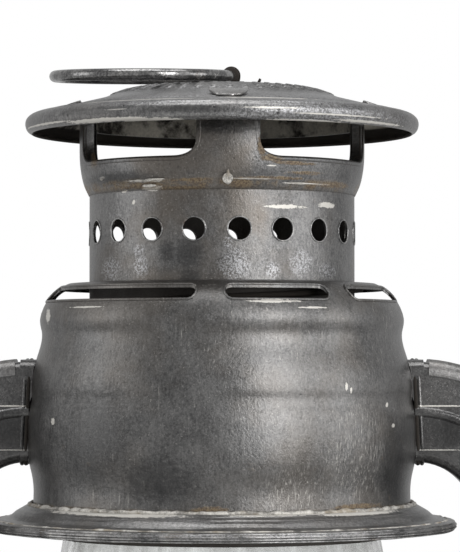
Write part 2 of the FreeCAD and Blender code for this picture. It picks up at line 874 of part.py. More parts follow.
def make_chamber():
    body = new_body("air_chamber")
    revolve(body, "chamber_wall", skin(chamber_outer(), s.gauge))
    pad(body, "tube_ways", "YZ_Plane", tube_hollow(s.tube_high), s.chamber_radius * 3, both=True, cut=True)
    front = float(s.slot_turn) - 90
    deep = s.chamber_top - s.shoulder_low
    slot = pad(body, "slot", "XY_Plane", shoulder_slot(s.slot_angle / 2), deep, s.chamber_top + 1, cut=True,
               turn=front)
    around(body, "slots", [slot], s.slot_count)
    pad(body, "torn_web", "XY_Plane", shoulder_slot(s.slot_angle / 2), deep, s.chamber_top + 1, cut=True,
        turn=front - TORN_WEB * 360 / float(s.slot_count))
    return body


def make_brim():
    body = new_body("chamber_brim")
    low, top, roll = s.brim_low, s.chamber_low, s.brim_roll
    edge = s.brim_radius - roll
    revolve(body, "brim_flare", [
        (s.brim_hole, top - 1.0),
        (s.chamber_radius - 1.7, top - 1.0),
        (s.chamber_radius - 1.7, top),
        (s.chamber_radius + 0.3, top),
        (s.chamber_radius + 2.4, top - 1.2),
        (s.chamber_radius + 3.8, top - 2.4),
        (edge, low + roll * 2, -roll),
        (edge + roll, low + roll, -roll),
        (edge, low),
        (edge - 0.8, low + 0.4),
        (edge - 0.8, low + 1.0),
        (s.chamber_radius + 3.5, top - 3.1),
        (s.chamber_radius + 2.0, top - 1.8),
        (s.chamber_radius - 0.4, top - 1.5),
        (s.brim_hole, top - 1.5),
    ])
    return body


def make_spring():
    """Coil whose turns are quarter arcs through points of the helix."""
    wire = float(s.spring_wire) / 2
    low = float(s.spring_foot) + wire
    high = float(s.chamber_top - s.gauge - s.spring_head_gap) - wire
    radius = float(s.spring_radius)
    turns = float(s.spring_turns)

    def point(turn):
        angle = 2 * math.pi * turn
        return FreeCAD.Vector(radius * math.cos(angle), radius * math.sin(angle), low + (high - low) * turn / turns)

    quarters = int(round(turns * 4))
    arcs = []
    for i in range(quarters):
        arc = Part.Arc(point(i / 4), point(i / 4 + 0.125), point(i / 4 + 0.25))
        arcs.append(arc.toShape())
    route = Part.Wire(arcs)
    start = arcs[0].tangentAt(arcs[0].FirstParameter)
    section = Part.Wire([Part.makeCircle(wire, point(0), start)])
    shape = route.makePipeShell([section], True, False)
    feature = doc.addObject("Part::Feature", "chimney_spring")
    feature.Label = "chimney_spring"
    feature.Shape = shape
    return feature


# Globe, its plate and guard
def make_globe_plate():
    body = new_body("globe_plate")
    low, thick = s.plate_height, s.plate_thick
    revolve(body, "plate_disc", [
        (s.plate_hole, low), (s.plate_radius, low), (s.plate_radius, low + 2.5),
        (s.plate_radius - thick, low + 2.5), (s.plate_radius - thick, low + thick), (s.plate_hole, low + thick),
    ])
    hole = pad(body, "plate_air_hole", "XY_Plane", ((s.plate_hole + 3, 0, s.plate_air_hole),), 4.0, offset=low + 3,
               cut=True)
    around(body, "plate_air_holes", [hole], 24)
    return body


def make_globe():
    body = new_body("globe")
    foot = s.plate_height + s.plate_thick
    out = s.globe_belly - s.globe_foot
    rise = s.globe_belly_height - (foot + 5)
    lower = (out * out + rise * rise) / (2 * out)
    inward = s.globe_belly - s.globe_shoulder
    fall = s.globe_shoulder_height - s.globe_belly_height
    upper = (inward * inward + fall * fall) / (2 * inward)
    path = [
        (s.globe_lip, s.globe_top),
        (s.globe_neck, s.globe_neck_height),
        (s.globe_shoulder, s.globe_shoulder_height, -upper),
        (s.globe_belly, s.globe_belly_height, -lower),
        (s.globe_foot, foot + 5),
        (s.globe_foot - 0.4, foot),
    ]
    corners = skin(path, s.glass_thick)
    revolve(body, "glass_wall", corners)
    return body


def arc_wire(label, first, middle, last, wire):
    """A round wire bent to the arc through three points: a stretch of a torus, turned into the arc's plane."""
    points = [FreeCAD.Vector(*[float(v) for v in p]) for p in (first, middle, last)]
    circle = Part.Circle(*points)
    centre = circle.Center
    start = (points[0] - centre).normalize()
    up = (points[0] - centre).cross(points[1] - centre).normalize()
    side = up.cross(start)
    matrix = FreeCAD.Matrix(
        start.x, side.x, up.x, centre.x, start.y, side.y, up.y, centre.y, start.z, side.z, up.z, centre.z, 0, 0, 0, 1
    )
    end = points[2] - centre
    sweep = math.degrees(math.atan2(end.dot(side), end.dot(start))) % 360
    torus = doc.addObject("Part::Torus", label)
    torus.Label = label
    torus.Radius1 = circle.Radius
    bind(torus, "Radius2", wire)
    torus.Angle3 = sweep
    torus.Placement = FreeCAD.Placement(matrix)
    return torus


def make_guard():
    """Two crossed wires before the globe and two behind it, held by a hoop."""
    wire = s.guard_wire
    low = s.plate_height + s.plate_thick + wire * 2
    foot_radius = s.plate_radius - s.plate_thick - wire - s.guard_seat
    top_radius = s.hoop_radius + wire * 2 + s.running_gap * 2
    foot_x, foot_y = foot_radius * sine(90 - s.guard_foot_angle), foot_radius * sine(s.guard_foot_angle)
    top_x, top_y = top_radius * sine(90 - s.guard_top_angle), top_radius * sine(s.guard_top_angle)
    top = s.guard_height + s.guard_top_over
    wires = []
    for word, face in (("front", -1), ("back", 1)):
        for way, side, apart in (("rising", 1, 0), ("falling", -1, s.guard_apart)):
            reach = s.globe_belly + s.guard_stand + wire + apart
            foot = (foot_x * -side, foot_y * face, low)
            middle = (0, reach * face, s.guard_cross)
            wires.append(arc_wire(f"guard_{word}_{way}", foot, middle, (top_x * side, top_y * face, top), wire))
    hoop = doc.addObject("Part::Torus", "guard_hoop")
    hoop.Label = "guard_hoop"
    bind(hoop, "Radius1", s.hoop_radius)
    bind(hoop, "Radius2", wire)
    turned(hoop, 0, (0, 0, s.guard_height))
    return wires + [hoop]


def make_lift_lug():
    body = new_body("lift_lug")
    near = -(s.tube_wide / 2 + s.part_gap)
    far = near - s.lug_wide
    pad(body, "lug_tab", "XY_Plane", box(s.plate_radius, s.plate_radius + s.lug_long, far, near), s.plate_thick,
        offset=s.plate_height)
    return body


# Chimney, crown and cap
bell_ledge = s.globe_top


def make_chimney_tube():
    body = new_body("chimney_tube")
    outer = s.chimney_radius
    low = bell_ledge + s.gauge + s.bell_rise
    revolve(body, "tube_wall", box(outer - s.gauge, outer, low, s.chimney_top))
    hole = pad(body, "punch", "XZ_Plane", ((0, s.punch_height, s.punch_radius),), outer * 1.5, cut=True, back=True)
    around(body, "punches", [hole], s.punch_count)
    turned(body, s.punch_turn)
    return body


def make_bell():
    body = new_body("chimney_bell")
    outer = s.chimney_radius
    ledge = bell_ledge + s.gauge
    path = [
        (outer, ledge + s.bell_rise),
        (outer + 0.4, ledge + s.bell_rise - 2),
        (s.globe_lip - s.glass_thick, ledge),
        (s.bell_radius, ledge),
        (s.bell_radius, s.bell_low),
    ]
    revolve(body, "bell_skin", skin(path, s.gauge))
    return body


def cap_slope(radius):
    """Height of the cap's outer face on its middle slope."""
    inner, outer = s.cap_crest_radius + 8.4, s.cap_crest_radius + 16.2
    return s.cap_crest - 2.3 - (radius - inner) * 2.0 / (outer - inner)


def cap_outer():
    crest = s.cap_crest_radius
    return [
        (0, s.cap_dish),
        (crest - 6.5, s.cap_dish),
        (crest - 2.0, s.cap_crest - 0.2, -3.5),
        (crest + 1.2, s.cap_crest - 0.1),
        (crest + 4.7, s.cap_crest - 0.8),
        (crest + 8.4, s.cap_crest - 2.3),
        (crest + 16.2, s.cap_crest - 4.3),
        (s.cap_radius - 4.2, s.cap_crest - 4.8),
        (s.cap_radius - 1.4, s.cap_crest - 5.4),
        (s.cap_radius - 0.2, s.cap_rim + 3.0),
        (s.cap_radius, s.cap_rim + 1.8),
        (s.cap_radius - 0.4, s.cap_rim + 0.6),
        (s.cap_radius - 1.4, s.cap_rim),
    ]


crown_top = cap_slope(s.crown_radius) - s.gauge * 1.1 - s.running_gap


def window_lip(side, half, corner, low, high):
    """The strip turned inwards down one side of a crown window and round its lower corner."""
    inner, outer = half * side, (half + s.gauge) * side
    turn = (half - corner) * side
    ring, reach = corner * side, (corner + s.gauge) * side
    return [
        (inner, high),
        (inner, low + corner, -ring),
        (turn, low),
        (turn, low - s.gauge, reach),
        (outer, low + corner),
        (outer, high),
    ]


def make_crown():
    body = new_body("chimney_crown")
    outer = s.crown_radius
    seam = s.chimney_radius + s.gauge + s.running_gap
    revolve(body, "crown_skin", skin([
        (outer, crown_top),
        (outer, s.window_low + 2),
        (seam + 0.9, s.window_low - 2.8),
        (seam, s.crown_low),
    ], s.gauge))
    half = outer * sine(s.window_half)
    corner = s.window_round
    low, high = s.window_low, s.window_high
    window = pad(body, "window", "XZ_Plane", [
        (-half + corner, low),
        (half - corner, low, corner),
        (half, low + corner),
        (half, high),
        (-half, high),
        (-half, low + corner, corner),
    ], outer * 1.2, cut=True, back=True)
    around(body, "windows", [window], s.window_count)
    near = outer * sine(90 - s.window_half) - 0.2
    lips = []
    for word, side in (("left", -1), ("right", 1)):
        outline = window_lip(side, half, corner, low, high)
        lips.append(pad(body, f"lip_{word}", "XZ_Plane", outline, s.flange_deep * 2, offset=near - s.flange_deep))
    around(body, "lips", lips, s.window_count)
    revolve(body, "lips_trimmed", box(outer, outer + 3, s.crown_low, crown_top), cut=True)
    tab_half = s.tab_wide / 2
    reach = outer + s.tab_long
    tab = pad(body, "tab", "XY_Plane", [
        (-tab_half, -reach + tab_half, tab_half),
        (0, -reach, tab_half),
        (tab_half, -reach + tab_half),
        (tab_half, -outer + s.gauge),
        (-tab_half, -outer + s.gauge),
    ], 4.0, offset=crown_top - 0.4, turn=45)
    around(body, "tabs", [tab], s.window_count)
    far = outer + s.tab_long + 3
    lift = s.running_gap
    revolve(body, "tab_under", [
        (outer, s.crown_low),
        (far, s.crown_low),
        (far, cap_slope(far) + lift),
        (outer, cap_slope(outer) + lift),
    ], cut=True)
    revolve(body, "tab_over", [
        (outer - 2, cap_slope(outer - 2) + lift + s.gauge + s.tab_rise),
        (far, cap_slope(far) + lift + s.gauge),
        (far, s.cap_crest + 4),
        (outer - 2, s.cap_crest + 4),
    ], cut=True)
    turned(body, s.post_turn + 45)
    return body


def make_pip():
    body = new_body("crown_pip")
    low = s.window_low - 3.0
    face = s.chimney_radius + s.gauge + s.running_gap * 2 + 0.9
    pad(body, "pip_neck", "XZ_Plane", ((0, low, s.pip_radius / 2),), s.pip_radius, offset=face)
    pad(body, "pip_head", "XZ_Plane", ((0, low, s.pip_radius),), s.pip_radius * 0.7, offset=face + s.pip_radius / 2)
    turned(body, s.post_turn)
    return body


def make_cap():
    body = new_body("cap")
    revolve(body, "cap_skin", skin(cap_outer(), s.gauge))
    half = s.tab_wide / 2 + s.running_gap * 2
    inner = s.crown_radius - s.gauge - 0.2
    slit = pad(body, "tab_slit", "XY_Plane", box(-half, half, -(s.crown_radius + 0.2), -inner),
               s.cap_crest - s.cap_rim, offset=s.cap_crest + 1, cut=True)
    around(body, "tab_slits", [slit], s.window_count)
    pad(body, "rivet_hole", "XY_Plane", ((s.rivet_place, 0, s.rivet_radius),), 3.0, offset=s.cap_dish + 1, cut=True,
        turn=-float(s.post_turn))
    turned(body, s.post_turn)
    return body


def make_ring_clip():
    body = new_body("ring_clip")
    place, up = s.ring_clip_place, s.ring_height
    hole = s.ring_wire + s.clip_gap
    outer = hole + s.clip_thick
    pad(body, "clip_eye", "XZ_Plane", ((place, up, outer),), s.clip_wide, both=True)
    neck = s.clip_thick
    pad(body, "clip_neck", "XZ_Plane", box(place - neck, place + neck, s.cap_dish, up - hole - 0.1), s.clip_wide,
        both=True)
    foot = place + s.clip_foot_long
    pad(body, "clip_foot", "XZ_Plane", [
        (place + neck - 0.2, s.cap_dish),
        (foot, s.cap_dish),
        (foot + 1.4, s.cap_dish + 2.6),
        (foot + 1.0, s.cap_dish + 2.8),
        (foot - 0.3, s.cap_dish + s.clip_thick),
        (place + neck - 0.2, s.cap_dish + s.clip_thick),
    ], s.clip_wide, both=True)
    pad(body, "clip_hole", "XZ_Plane", ((place, up, hole),), s.clip_wide * 2, both=True, cut=True)
    pad(body, "foot_hole", "XY_Plane", ((s.rivet_place, 0, s.rivet_radius),), 3.0, offset=s.cap_dish + 2, cut=True)
    return body


def make_clip_rivet():
    body = new_body("clip_rivet")
    low = s.cap_dish - s.gauge
    top = s.cap_dish + s.clip_thick
    revolve(body, "rivet_turned", [
        (0, low - 0.6),
        (1.5, low - 0.6),
        (1.5, low),
        (s.rivet_radius, low),
        (s.rivet_radius, top),
        (1.3, top),
        (1.1, top + 0.5),
        (0, top + 0.7),
    ])
    turned(body, 0, (s.rivet_place, 0, 0))
    return body


def make_pull_ring():
    ring = doc.addObject("Part::Torus", "pull_ring")
    ring.Label = "pull_ring"
    bind(ring, "Radius1", s.ring_radius)
    bind(ring, "Radius2", s.ring_wire)
    turned(ring, s.ring_roll, (s.ring_clip_place - s.ring_radius, 0, s.ring_height), (1, 0, 0))
    return ring


def make_lift_lever():
    body = new_body("lift_lever")
    half, arm, handle = s.lever_half, s.lever_arm, s.lever_handle
    near = s.tube_wide / 2 + s.lever_off
    pad(body, "lever_strip", "XZ_Plane", [
        (-arm, -half),
        (handle, -half, half),
        (handle + half, 0, half),
        (handle, half),
        (-arm, half, half),
        (-arm - half, 0, half),
    ], s.lever_thick, offset=near)
    eye = half + s.lever_pin / 2
    pad(body, "lever_boss", "XZ_Plane", ((0, 0, eye),), s.lever_thick, offset=near)
    pad(body, "lever_bore", "XZ_Plane", ((0, 0, s.lever_pin + s.running_gap),), s.lever_thick * 4,
        offset=near + s.lever_thick * 2, cut=True)
    turned(body, -s.lever_drop, (s.tube_place, 0, lever_height), (0, 1, 0))
    return body


def make_bail():
    body = new_body("bail_wire")
    depth, bend, end = s.bail_depth, s.bail_bend, s.bail_end_bend
    start = ear_face + s.part_gap
    half = ear_face + s.ear_thick + s.running_gap * 2 + end
    route = new_sketch(body, "bail_route", "XZ_Plane")
    draw_outline(route, [
        (start, 0),
        (half - end, 0, -end),
        (half, -end),
        (half, bend - depth, -bend),
        (half - bend, -depth),
        (bend - half, -depth, -bend),
        (-half, bend - depth),
        (-half, -end, -end),
        (end - half, 0),
        (-start, 0),
    ], closed=False)
    section = new_sketch(body, "bail_section", "YZ_Plane", start)
    draw_circle(section, 0, 0, s.bail_wire)
    pipe = body.newObject("PartDesign::AdditivePipe", "bail_bent")
    pipe.Profile = section
    pipe.Spine = route
    body.Tip = pipe
    turned(body, s.bail_lean, (0, 0, s.ear_height), (1, 0, 0))
    return body


def make_all():
    made = [make_tank_shell(), make_tank_bottom()]
    made += make_filler()
    made += [make_burner_collar(), make_burner_cup(), make_burner_base()]
    made += [make_wick_tube(), make_wick()]
    made += make_wick_shaft()
    made += [make_gallery(), make_dome()]
    for side, word in ((-1, "left"), (1, "right")):
        made += [make_air_tube(side, word), make_seam(side, word), make_ear(side, word)]
    made += [make_lever_pivot(), make_chamber(), make_brim(), make_spring()]
    made += [make_globe_plate(), make_globe()]
    made += make_guard()
    made += [make_lift_lug(), make_chimney_tube(), make_bell(), make_crown(), make_pip(), make_cap()]
    made += [make_ring_clip(), make_clip_rivet(), make_pull_ring(), make_lift_lever(), make_bail()]
    return made


def main():
    made = make_all()
    doc.recompute()
    for item in doc.Objects:
        if "Invalid" in item.State or "Error" in item.State:
            raise RuntimeError(f"{item.Label} has the state {item.State}")
    for item in made:
        if item.Shape.isNull() or not item.Shape.isValid():
            raise RuntimeError(f"{item.Label} has no valid shape")
    os.makedirs("parts", exist_ok=True)
    for item in made:
        print(item.Label, len(item.Shape.Solids), round(item.Shape.Volume, 1), len(item.Shape.Faces))
        item.Shape.exportStep(f"parts/{item.Label}.step")


main()
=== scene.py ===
import json
import math
from dataclasses import dataclass

import bmesh
import bpy
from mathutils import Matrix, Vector


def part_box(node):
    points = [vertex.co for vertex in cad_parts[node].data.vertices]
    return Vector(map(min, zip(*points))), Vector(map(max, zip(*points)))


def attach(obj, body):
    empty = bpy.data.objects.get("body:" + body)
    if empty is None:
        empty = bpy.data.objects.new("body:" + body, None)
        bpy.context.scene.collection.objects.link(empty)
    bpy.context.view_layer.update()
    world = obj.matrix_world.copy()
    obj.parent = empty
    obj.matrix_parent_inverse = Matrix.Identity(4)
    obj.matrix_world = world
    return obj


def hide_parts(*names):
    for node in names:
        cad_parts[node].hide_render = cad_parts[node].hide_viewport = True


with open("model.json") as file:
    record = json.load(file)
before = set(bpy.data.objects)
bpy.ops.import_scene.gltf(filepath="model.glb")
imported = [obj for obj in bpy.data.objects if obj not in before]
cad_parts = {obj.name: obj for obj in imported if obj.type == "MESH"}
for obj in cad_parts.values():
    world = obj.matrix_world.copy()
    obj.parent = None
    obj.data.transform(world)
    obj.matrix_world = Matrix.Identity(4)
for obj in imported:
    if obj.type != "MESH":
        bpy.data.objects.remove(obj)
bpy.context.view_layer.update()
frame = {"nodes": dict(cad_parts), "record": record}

bl_info = {
    "name": "Tubular lantern dressing",
    "version": (1, 0, 0),
    "blender": (4, 5, 0),
    "location": "View3D > Sidebar > Lantern",
    "description": "Finishes, pressed cap, rims, solder and stage for a galvanised tubular lantern",
    "category": "Object",
}

NODES = frame["nodes"]
MM = 0.001


# Shader expressions


class Level:
    """A number that varies over a surface, so that plain arithmetic adds Math nodes."""

    def __init__(self, finish, socket):
        self.finish = finish
        self.socket = socket

    def _join(self, operation, first, second=None):
        values = {0: first} if second is None else {0: first, 1: second}
        node = self.finish.node("ShaderNodeMath", {"operation": operation}, values)
        return Level(self.finish, node.outputs[0])

    def __add__(self, other):
        return self._join("ADD", self, other)

    def __radd__(self, other):
        return self._join("ADD", other, self)

    def __sub__(self, other):
        return self._join("SUBTRACT", self, other)

    def __rsub__(self, other):
        return self._join("SUBTRACT", other, self)

    def __mul__(self, other):
        return self._join("MULTIPLY", self, other)

    def __rmul__(self, other):
        return self._join("MULTIPLY", other, self)

    def __truediv__(self, other):
        return self._join("DIVIDE", self, other)

    def __pow__(self, other):
        return self._join("POWER", self, other)

    def at_most(self, other):
        return self._join("MINIMUM", self, other)

    def at_least(self, other):
        return self._join("MAXIMUM", self, other)

    def size(self):
        return self._join("ABSOLUTE", self)

    def sine(self):
        return self._join("SINE", self)

    def between(self, low, high):
        """0 at low, 1 at high, and smooth from one to the other."""
        node = self.finish.node(
            "ShaderNodeMapRange",
            {"interpolation_type": "SMOOTHSTEP"},
            {"Value": self, "From Min": low, "From Max": high},
        )
        return Level(self.finish, node.outputs[0])

    def band(self, middle, half, soft):
        """1 within half of middle, and 0 a soft step beyond."""
        return 1 - (self - middle).size().between(half, half + soft)


class Finish:
    """A procedural material on object coordinates, with the shader's own sockets set by name."""

    def __init__(self, name):
        self.material = bpy.data.materials.new(name)
        self.material.use_nodes = True
        self.tree = self.material.node_tree
        self.shader = self.tree.nodes["Principled BSDF"]
        given = self.node("ShaderNodeTexCoord")
        self.place = given.outputs["Object"]
        self.normal = given.outputs["Normal"]
        parts = self.node("ShaderNodeSeparateXYZ", values={"Vector": self.place})
        self.across = Level(self, parts.outputs["X"])
        self.deep = Level(self, parts.outputs["Y"])
        self.up = Level(self, parts.outputs["Z"])

    def node(self, kind, settings=None, values=None):
        node = self.tree.nodes.new(kind)
        for word, setting in (settings or {}).items():
            setattr(node, word, setting)
        for word, value in (values or {}).items():
            self.feed(node.inputs[word], value)
        return node

    def feed(self, socket, value):
        if isinstance(value, Level):
            self.tree.links.new(value.socket, socket)
        elif isinstance(value, bpy.types.NodeSocket):
            self.tree.links.new(value, socket)
        else:
            socket.default_value = value

    def stretched(self, stretch):
        return self.node("ShaderNodeMapping", values={"Vector": self.place, "Scale": stretch}).outputs[0]

    def noise(self, scale, detail=4.0, rough=0.55, stretch=(1, 1, 1)):
        values = {"Vector": self.stretched(stretch), "Scale": scale, "Detail": detail, "Roughness": rough}
        return Level(self, self.node("ShaderNodeTexNoise", values=values).outputs["Fac"])

    def cells(self, scale):
        values = {"Vector": self.stretched((1, 1, 1)), "Scale": scale}
        return Level(self, self.node("ShaderNodeTexVoronoi", values=values).outputs["Distance"])

    def radius(self):
        return (self.across * self.across + self.deep * self.deep) ** 0.5

    def front(self):
        """1 on the front half, and 0 a little behind the axis."""
        return 1 - self.deep.between(-4 * MM, 2 * MM)

    def inside(self):
        """1 on faces that look towards the axis or down, and 0 on the outside."""
        parts = self.node("ShaderNodeSeparateXYZ", values={"Vector": self.normal})
        x, y, z = (Level(self, parts.outputs[word]) for word in "XYZ")
        inward = 1 - (x * self.across + y * self.deep).between(-6 * MM, -1 * MM)
        return inward.at_least(1 - z.between(-0.7, -0.5))

    def marks(self, places, ragged, start=0.7, stop=0.95):
        """Ragged patches on the front; a place is its middle across and up and its half sizes, in mm."""
        total = None
        for x, z, wide, high in places:
            across = (self.across - x * MM) / (wide * MM)
            up = (self.up - z * MM) / (high * MM)
            patch = 1 - (across * across + up * up + ragged).between(start, stop)
            total = patch if total is None else total.at_least(patch)
        return total * self.front()

    def mix(self, factor, first, second):
        """One colour into another; the numbers are the Mix node's factor and colour sockets."""
        values = {0: factor, 6: colour(first), 7: colour(second)}
        return self.node("ShaderNodeMix", {"data_type": "RGBA"}, values).outputs[2]

    def set(self, **values):
        for word, value in values.items():
            self.feed(self.shader.inputs[word.replace("_", " ")], value)

    def bump(self, height, distance, strength=1.0):
        values = {"Height": height, "Distance": distance, "Strength": strength}
        self.feed(self.shader.inputs["Normal"], self.node("ShaderNodeBump", values=values).outputs[0])


def colour(value):
    """Colours are written as three numbers; sockets pass through."""
    return (*value, 1.0) if isinstance(value, tuple) and len(value) == 3 else value


def toned(value, tone):
    return tuple(part * tone for part in value)


# Finishes

FINISHES = {}


@dataclass
class WearAndPaintedLight:
    """How one sheet piece has worn, and where light and shade are painted on it; its places are middle across
    and up and its half sizes, in millimetres.
    """

    tone: float = 1.0
    streaks: float = 1.0
    warm: float = 0.0
    spots: float = 1.0
    polish: float = 0.0
    matt: float = 0.0
    rings: float = 0.0
    pale: tuple = ()
    bloom: tuple = ()
    stain: tuple = ()
    rust: tuple = ()
    brushed: tuple = ()
    seams: tuple = ()
    seam_wide: float = 0.5
    sooty_below: float = None
    sooty_inside: bool = False


def aged_steel(name, look, wear_and_painted_light):
    """Old dip-tinned steel: grained grey with hair streaks, flecks and pits, with marks in their places; some
    marks are painted highlight and shade.
    """
    finish = Finish(name)
    cloud = finish.noise(26, 3, 0.5)
    mottle = finish.noise(130, 5, 0.62)
    fleck = finish.noise(2500, 2, 0.75)
    hair = finish.noise(1500, 3, 0.6, (1, 1, 0.05))
    grain = finish.noise(1900, 4, 0.7, (1, 1, 0.45))
    ragged = (finish.noise(1300, 5, 0.8, (0.55, 0.55, 1.3)) - 0.5) * 4.2
    blend = cloud * 0.20 + mottle * 0.22 + fleck * 0.26 + grain * 0.22 + hair * (0.10 * wear_and_painted_light.streaks)
    level = blend.between(0.34, 0.66)
    dark, light = toned(look.steel_dark, wear_and_painted_light.tone), toned(look.steel_light, wear_and_painted_light.tone)
    tint = finish.mix(level, dark, light)
    brown = (finish.noise(45, 4, 0.6).between(0.42, 0.66) * (0.35 + wear_and_painted_light.warm)).at_most(1.0)
    tint = finish.mix(brown, tint, tuple(look.brown_tint))
    pits = (1 - finish.cells(900).between(0.12, 0.30)) * finish.noise(170, 3).between(0.50, 0.62)
    tint = finish.mix(pits * (0.75 * wear_and_painted_light.spots), tint, toned(look.steel_dark, 0.45))
    streak = hair.between(0.62, 0.72) * finish.noise(75, 3).between(0.50, 0.64) * (0.35 * wear_and_painted_light.streaks)
    dots = finish.noise(2900, 1, 0.5).between(0.66, 0.76) * 0.22
    pale = streak.at_least(dots).at_most(1.0)
    if wear_and_painted_light.brushed:
        fine = finish.noise(4200, 3, 0.65, (1, 1, 0.12)).between(0.54, 0.68)
        pale = pale.at_least(fine * finish.marks(wear_and_painted_light.brushed, ragged * 0.2, 0.0, 1.2) * 0.5)
    # Some of these pale marks are painted highlights and reflections; the others are wear.
    if wear_and_painted_light.pale:
        pale = pale.at_least(finish.marks(wear_and_painted_light.pale, ragged))
    bloom = fleck.between(0.52, 0.60) * finish.noise(140, 4, 0.6).between(0.62, 0.72) * (0.7 * wear_and_painted_light.spots)
    if wear_and_painted_light.bloom:
        flowers = finish.marks(wear_and_painted_light.bloom, ragged * 0.6, 0.1, 1.2)
        bloom = bloom.at_least(flowers * fleck.between(0.46, 0.58))
    tint = finish.mix(bloom * 0.8, tint, tuple(look.bloom))
    tint = finish.mix(pale, tint, tuple(look.worn_pale))
    # Some of these stains are painted shade; the others are real stains.
    if wear_and_painted_light.stain:
        stain_and_painted_shade = finish.marks(wear_and_painted_light.stain, ragged * 0.7, 0.0, 1.3) * 0.6
        tint = finish.mix(stain_and_painted_shade, tint, toned(look.steel_dark, 0.55))
    rust = finish.noise(190, 5, 0.65).between(0.66, 0.78) * 0.4
    if wear_and_painted_light.rust:
        rust = rust.at_least(finish.marks(wear_and_painted_light.rust, ragged, 0.2, 1.2))
    for height in wear_and_painted_light.seams:
        near = finish.up.band(height * MM, wear_and_painted_light.seam_wide * 0.4 * MM, wear_and_painted_light.seam_wide * MM)
        rust = rust.at_least(near * finish.noise(210, 5, 0.65).between(0.40, 0.64))
    film = finish.mix(fleck.between(0.4, 0.6), tuple(look.rust), tuple(look.rust_pale))
    tint = finish.mix(rust * (0.5 + grain * 0.5), tint, film)
    dull = (rust * 0.7 + pale * 0.5).at_most(1.0)
    soot = None
    if wear_and_painted_light.sooty_below is not None:
        soot = 1 - finish.up.between((wear_and_painted_light.sooty_below - 0.4) * MM, wear_and_painted_light.sooty_below * MM)
    if wear_and_painted_light.sooty_inside:
        soot = finish.inside() if soot is None else soot.at_least(finish.inside())
    if soot is not None:
        tint = finish.mix(soot * (0.75 + mottle * 0.4), tint, tuple(look.soot))
        dull = dull.at_least(soot)
    finish.set(Base_Color=tint, Metallic=(1 - dull * 0.75) * (look.metal - wear_and_painted_light.matt))
    rough = look.roughness - wear_and_painted_light.polish * 0.16 + (mottle - 0.5) * 0.30 + dull * 0.20 + (fleck - 0.5) * 0.15
    finish.set(Roughness=rough.at_least(0.2).at_most(0.9))
    relief = mottle * 0.35 + grain * 0.35 + fleck * 0.30 + hair * (0.15 * wear_and_painted_light.streaks)
    relief = relief - pits * (0.3 * wear_and_painted_light.spots) + dull * 0.25
    if wear_and_painted_light.rings:
        turned = (finish.radius() * 5600 + mottle * 3).sine()
        relief = relief + turned * (finish.noise(60, 2).between(0.35, 0.65) * wear_and_painted_light.rings)
    finish.bump(relief, look.relief * MM * (1 - wear_and_painted_light.polish * 0.6))
    return finish.material


def soot_with_painted_light(name, look, painted_light_from):
    """Black soot, with a pale mottled band of painted light from a height in millimetres up to above the
    crown.
    """
    finish = Finish(name)
    painted_light_to = 248.5
    patch = finish.noise(170, 5, 0.65)
    fleck = finish.noise(1800, 2, 0.7)
    middle, half = (painted_light_from + painted_light_to) / 2, (painted_light_to - painted_light_from) / 2
    # Painted light: a pale mottled band where the undersides show lit through the windows.
    pale = patch.between(0.38, 0.60) * finish.up.band(middle * MM, half * MM, 0.4 * MM)
    tint = finish.mix(fleck, toned(look.soot, 0.5), tuple(look.soot))
    tint = finish.mix(pale * (0.45 + fleck * 0.7), tint, (0.70, 0.66, 0.58))
    finish.set(Base_Color=tint, Metallic=0.15, Roughness=0.8 + fleck * 0.15)
    finish.bump(patch + fleck * 0.4, 0.2 * MM)
    return finish.material


def wire_steel(name, look, tone=1.0, polish=0.0):
    """Drawn wire, dark in the open and rubbed bright in scratches."""
    finish = Finish(name)
    mottle = finish.noise(260, 5, 0.65)
    fleck = finish.noise(2400, 2, 0.7)
    level = (mottle * 0.6 + fleck * 0.4).between(0.36, 0.64)
    tint = finish.mix(level, toned(look.steel_dark, tone * 0.9), toned(look.steel_light, tone))
    rub = finish.noise(520, 4, 0.7).between(0.60, 0.68)
    tint = finish.mix(rub * (0.85 - polish), tint, tuple(look.worn_pale))
    rust = finish.noise(180, 4, 0.6).between(0.62, 0.74) * 0.5
    tint = finish.mix(rust, tint, tuple(look.rust))
    rough = look.roughness - 0.04 - polish * 0.2 + (mottle - 0.5) * 0.25 + rub * 0.15
    finish.set(Base_Color=tint, Metallic=(1 - rust - rub * 0.3) * look.metal, Roughness=rough)
    finish.bump(mottle + rub * 0.4 + fleck * 0.3, (0.1 - polish * 0.1) * MM)
    return finish.material


def solder(name, look):
    """Dull pale solder, chalky in patches, with rust stain in its hollows."""
    finish = Finish(name)
    lump = finish.noise(420, 5, 0.65)
    fleck = finish.noise(2600, 2, 0.7)
    stain = finish.noise(170, 4, 0.6).between(0.50, 0.66)
    level = (lump * 0.7 + fleck * 0.3).between(0.38, 0.60)
    tint = finish.mix(level, tuple(look.solder_dark), tuple(look.worn_pale))
    tint = finish.mix(stain * 0.65, tint, tuple(look.rust_pale))
    finish.set(Base_Color=tint, Metallic=(1 - stain) * 0.55, Roughness=0.45 + lump * 0.25)
    finish.bump(lump + fleck * 0.3, 0.25 * MM)
    return finish.material


def old_brass(name, look):
    """Brass gone brown, with dark spots and rubbed bright patches."""
    finish = Finish(name)
    mottle = finish.noise(120, 5, 0.6)
    fleck = finish.noise(2200, 2, 0.7)
    level = (mottle * 0.7 + fleck * 0.3).between(0.34, 0.66)
    tint = finish.mix(level, tuple(look.brass_dark), tuple(look.brass_light))
    spots = (1 - finish.cells(700).between(0.10, 0.35)) * finish.noise(90, 2).between(0.45, 0.6)
    tint = finish.mix(spots * 0.7, tint, toned(look.brass_dark, 0.35))
    finish.set(Base_Color=tint, Metallic=1 - spots * 0.5, Roughness=0.30 + mottle * 0.2 + spots * 0.2)
    finish.bump(mottle + fleck * 0.3, 0.08 * MM)
    return finish.material


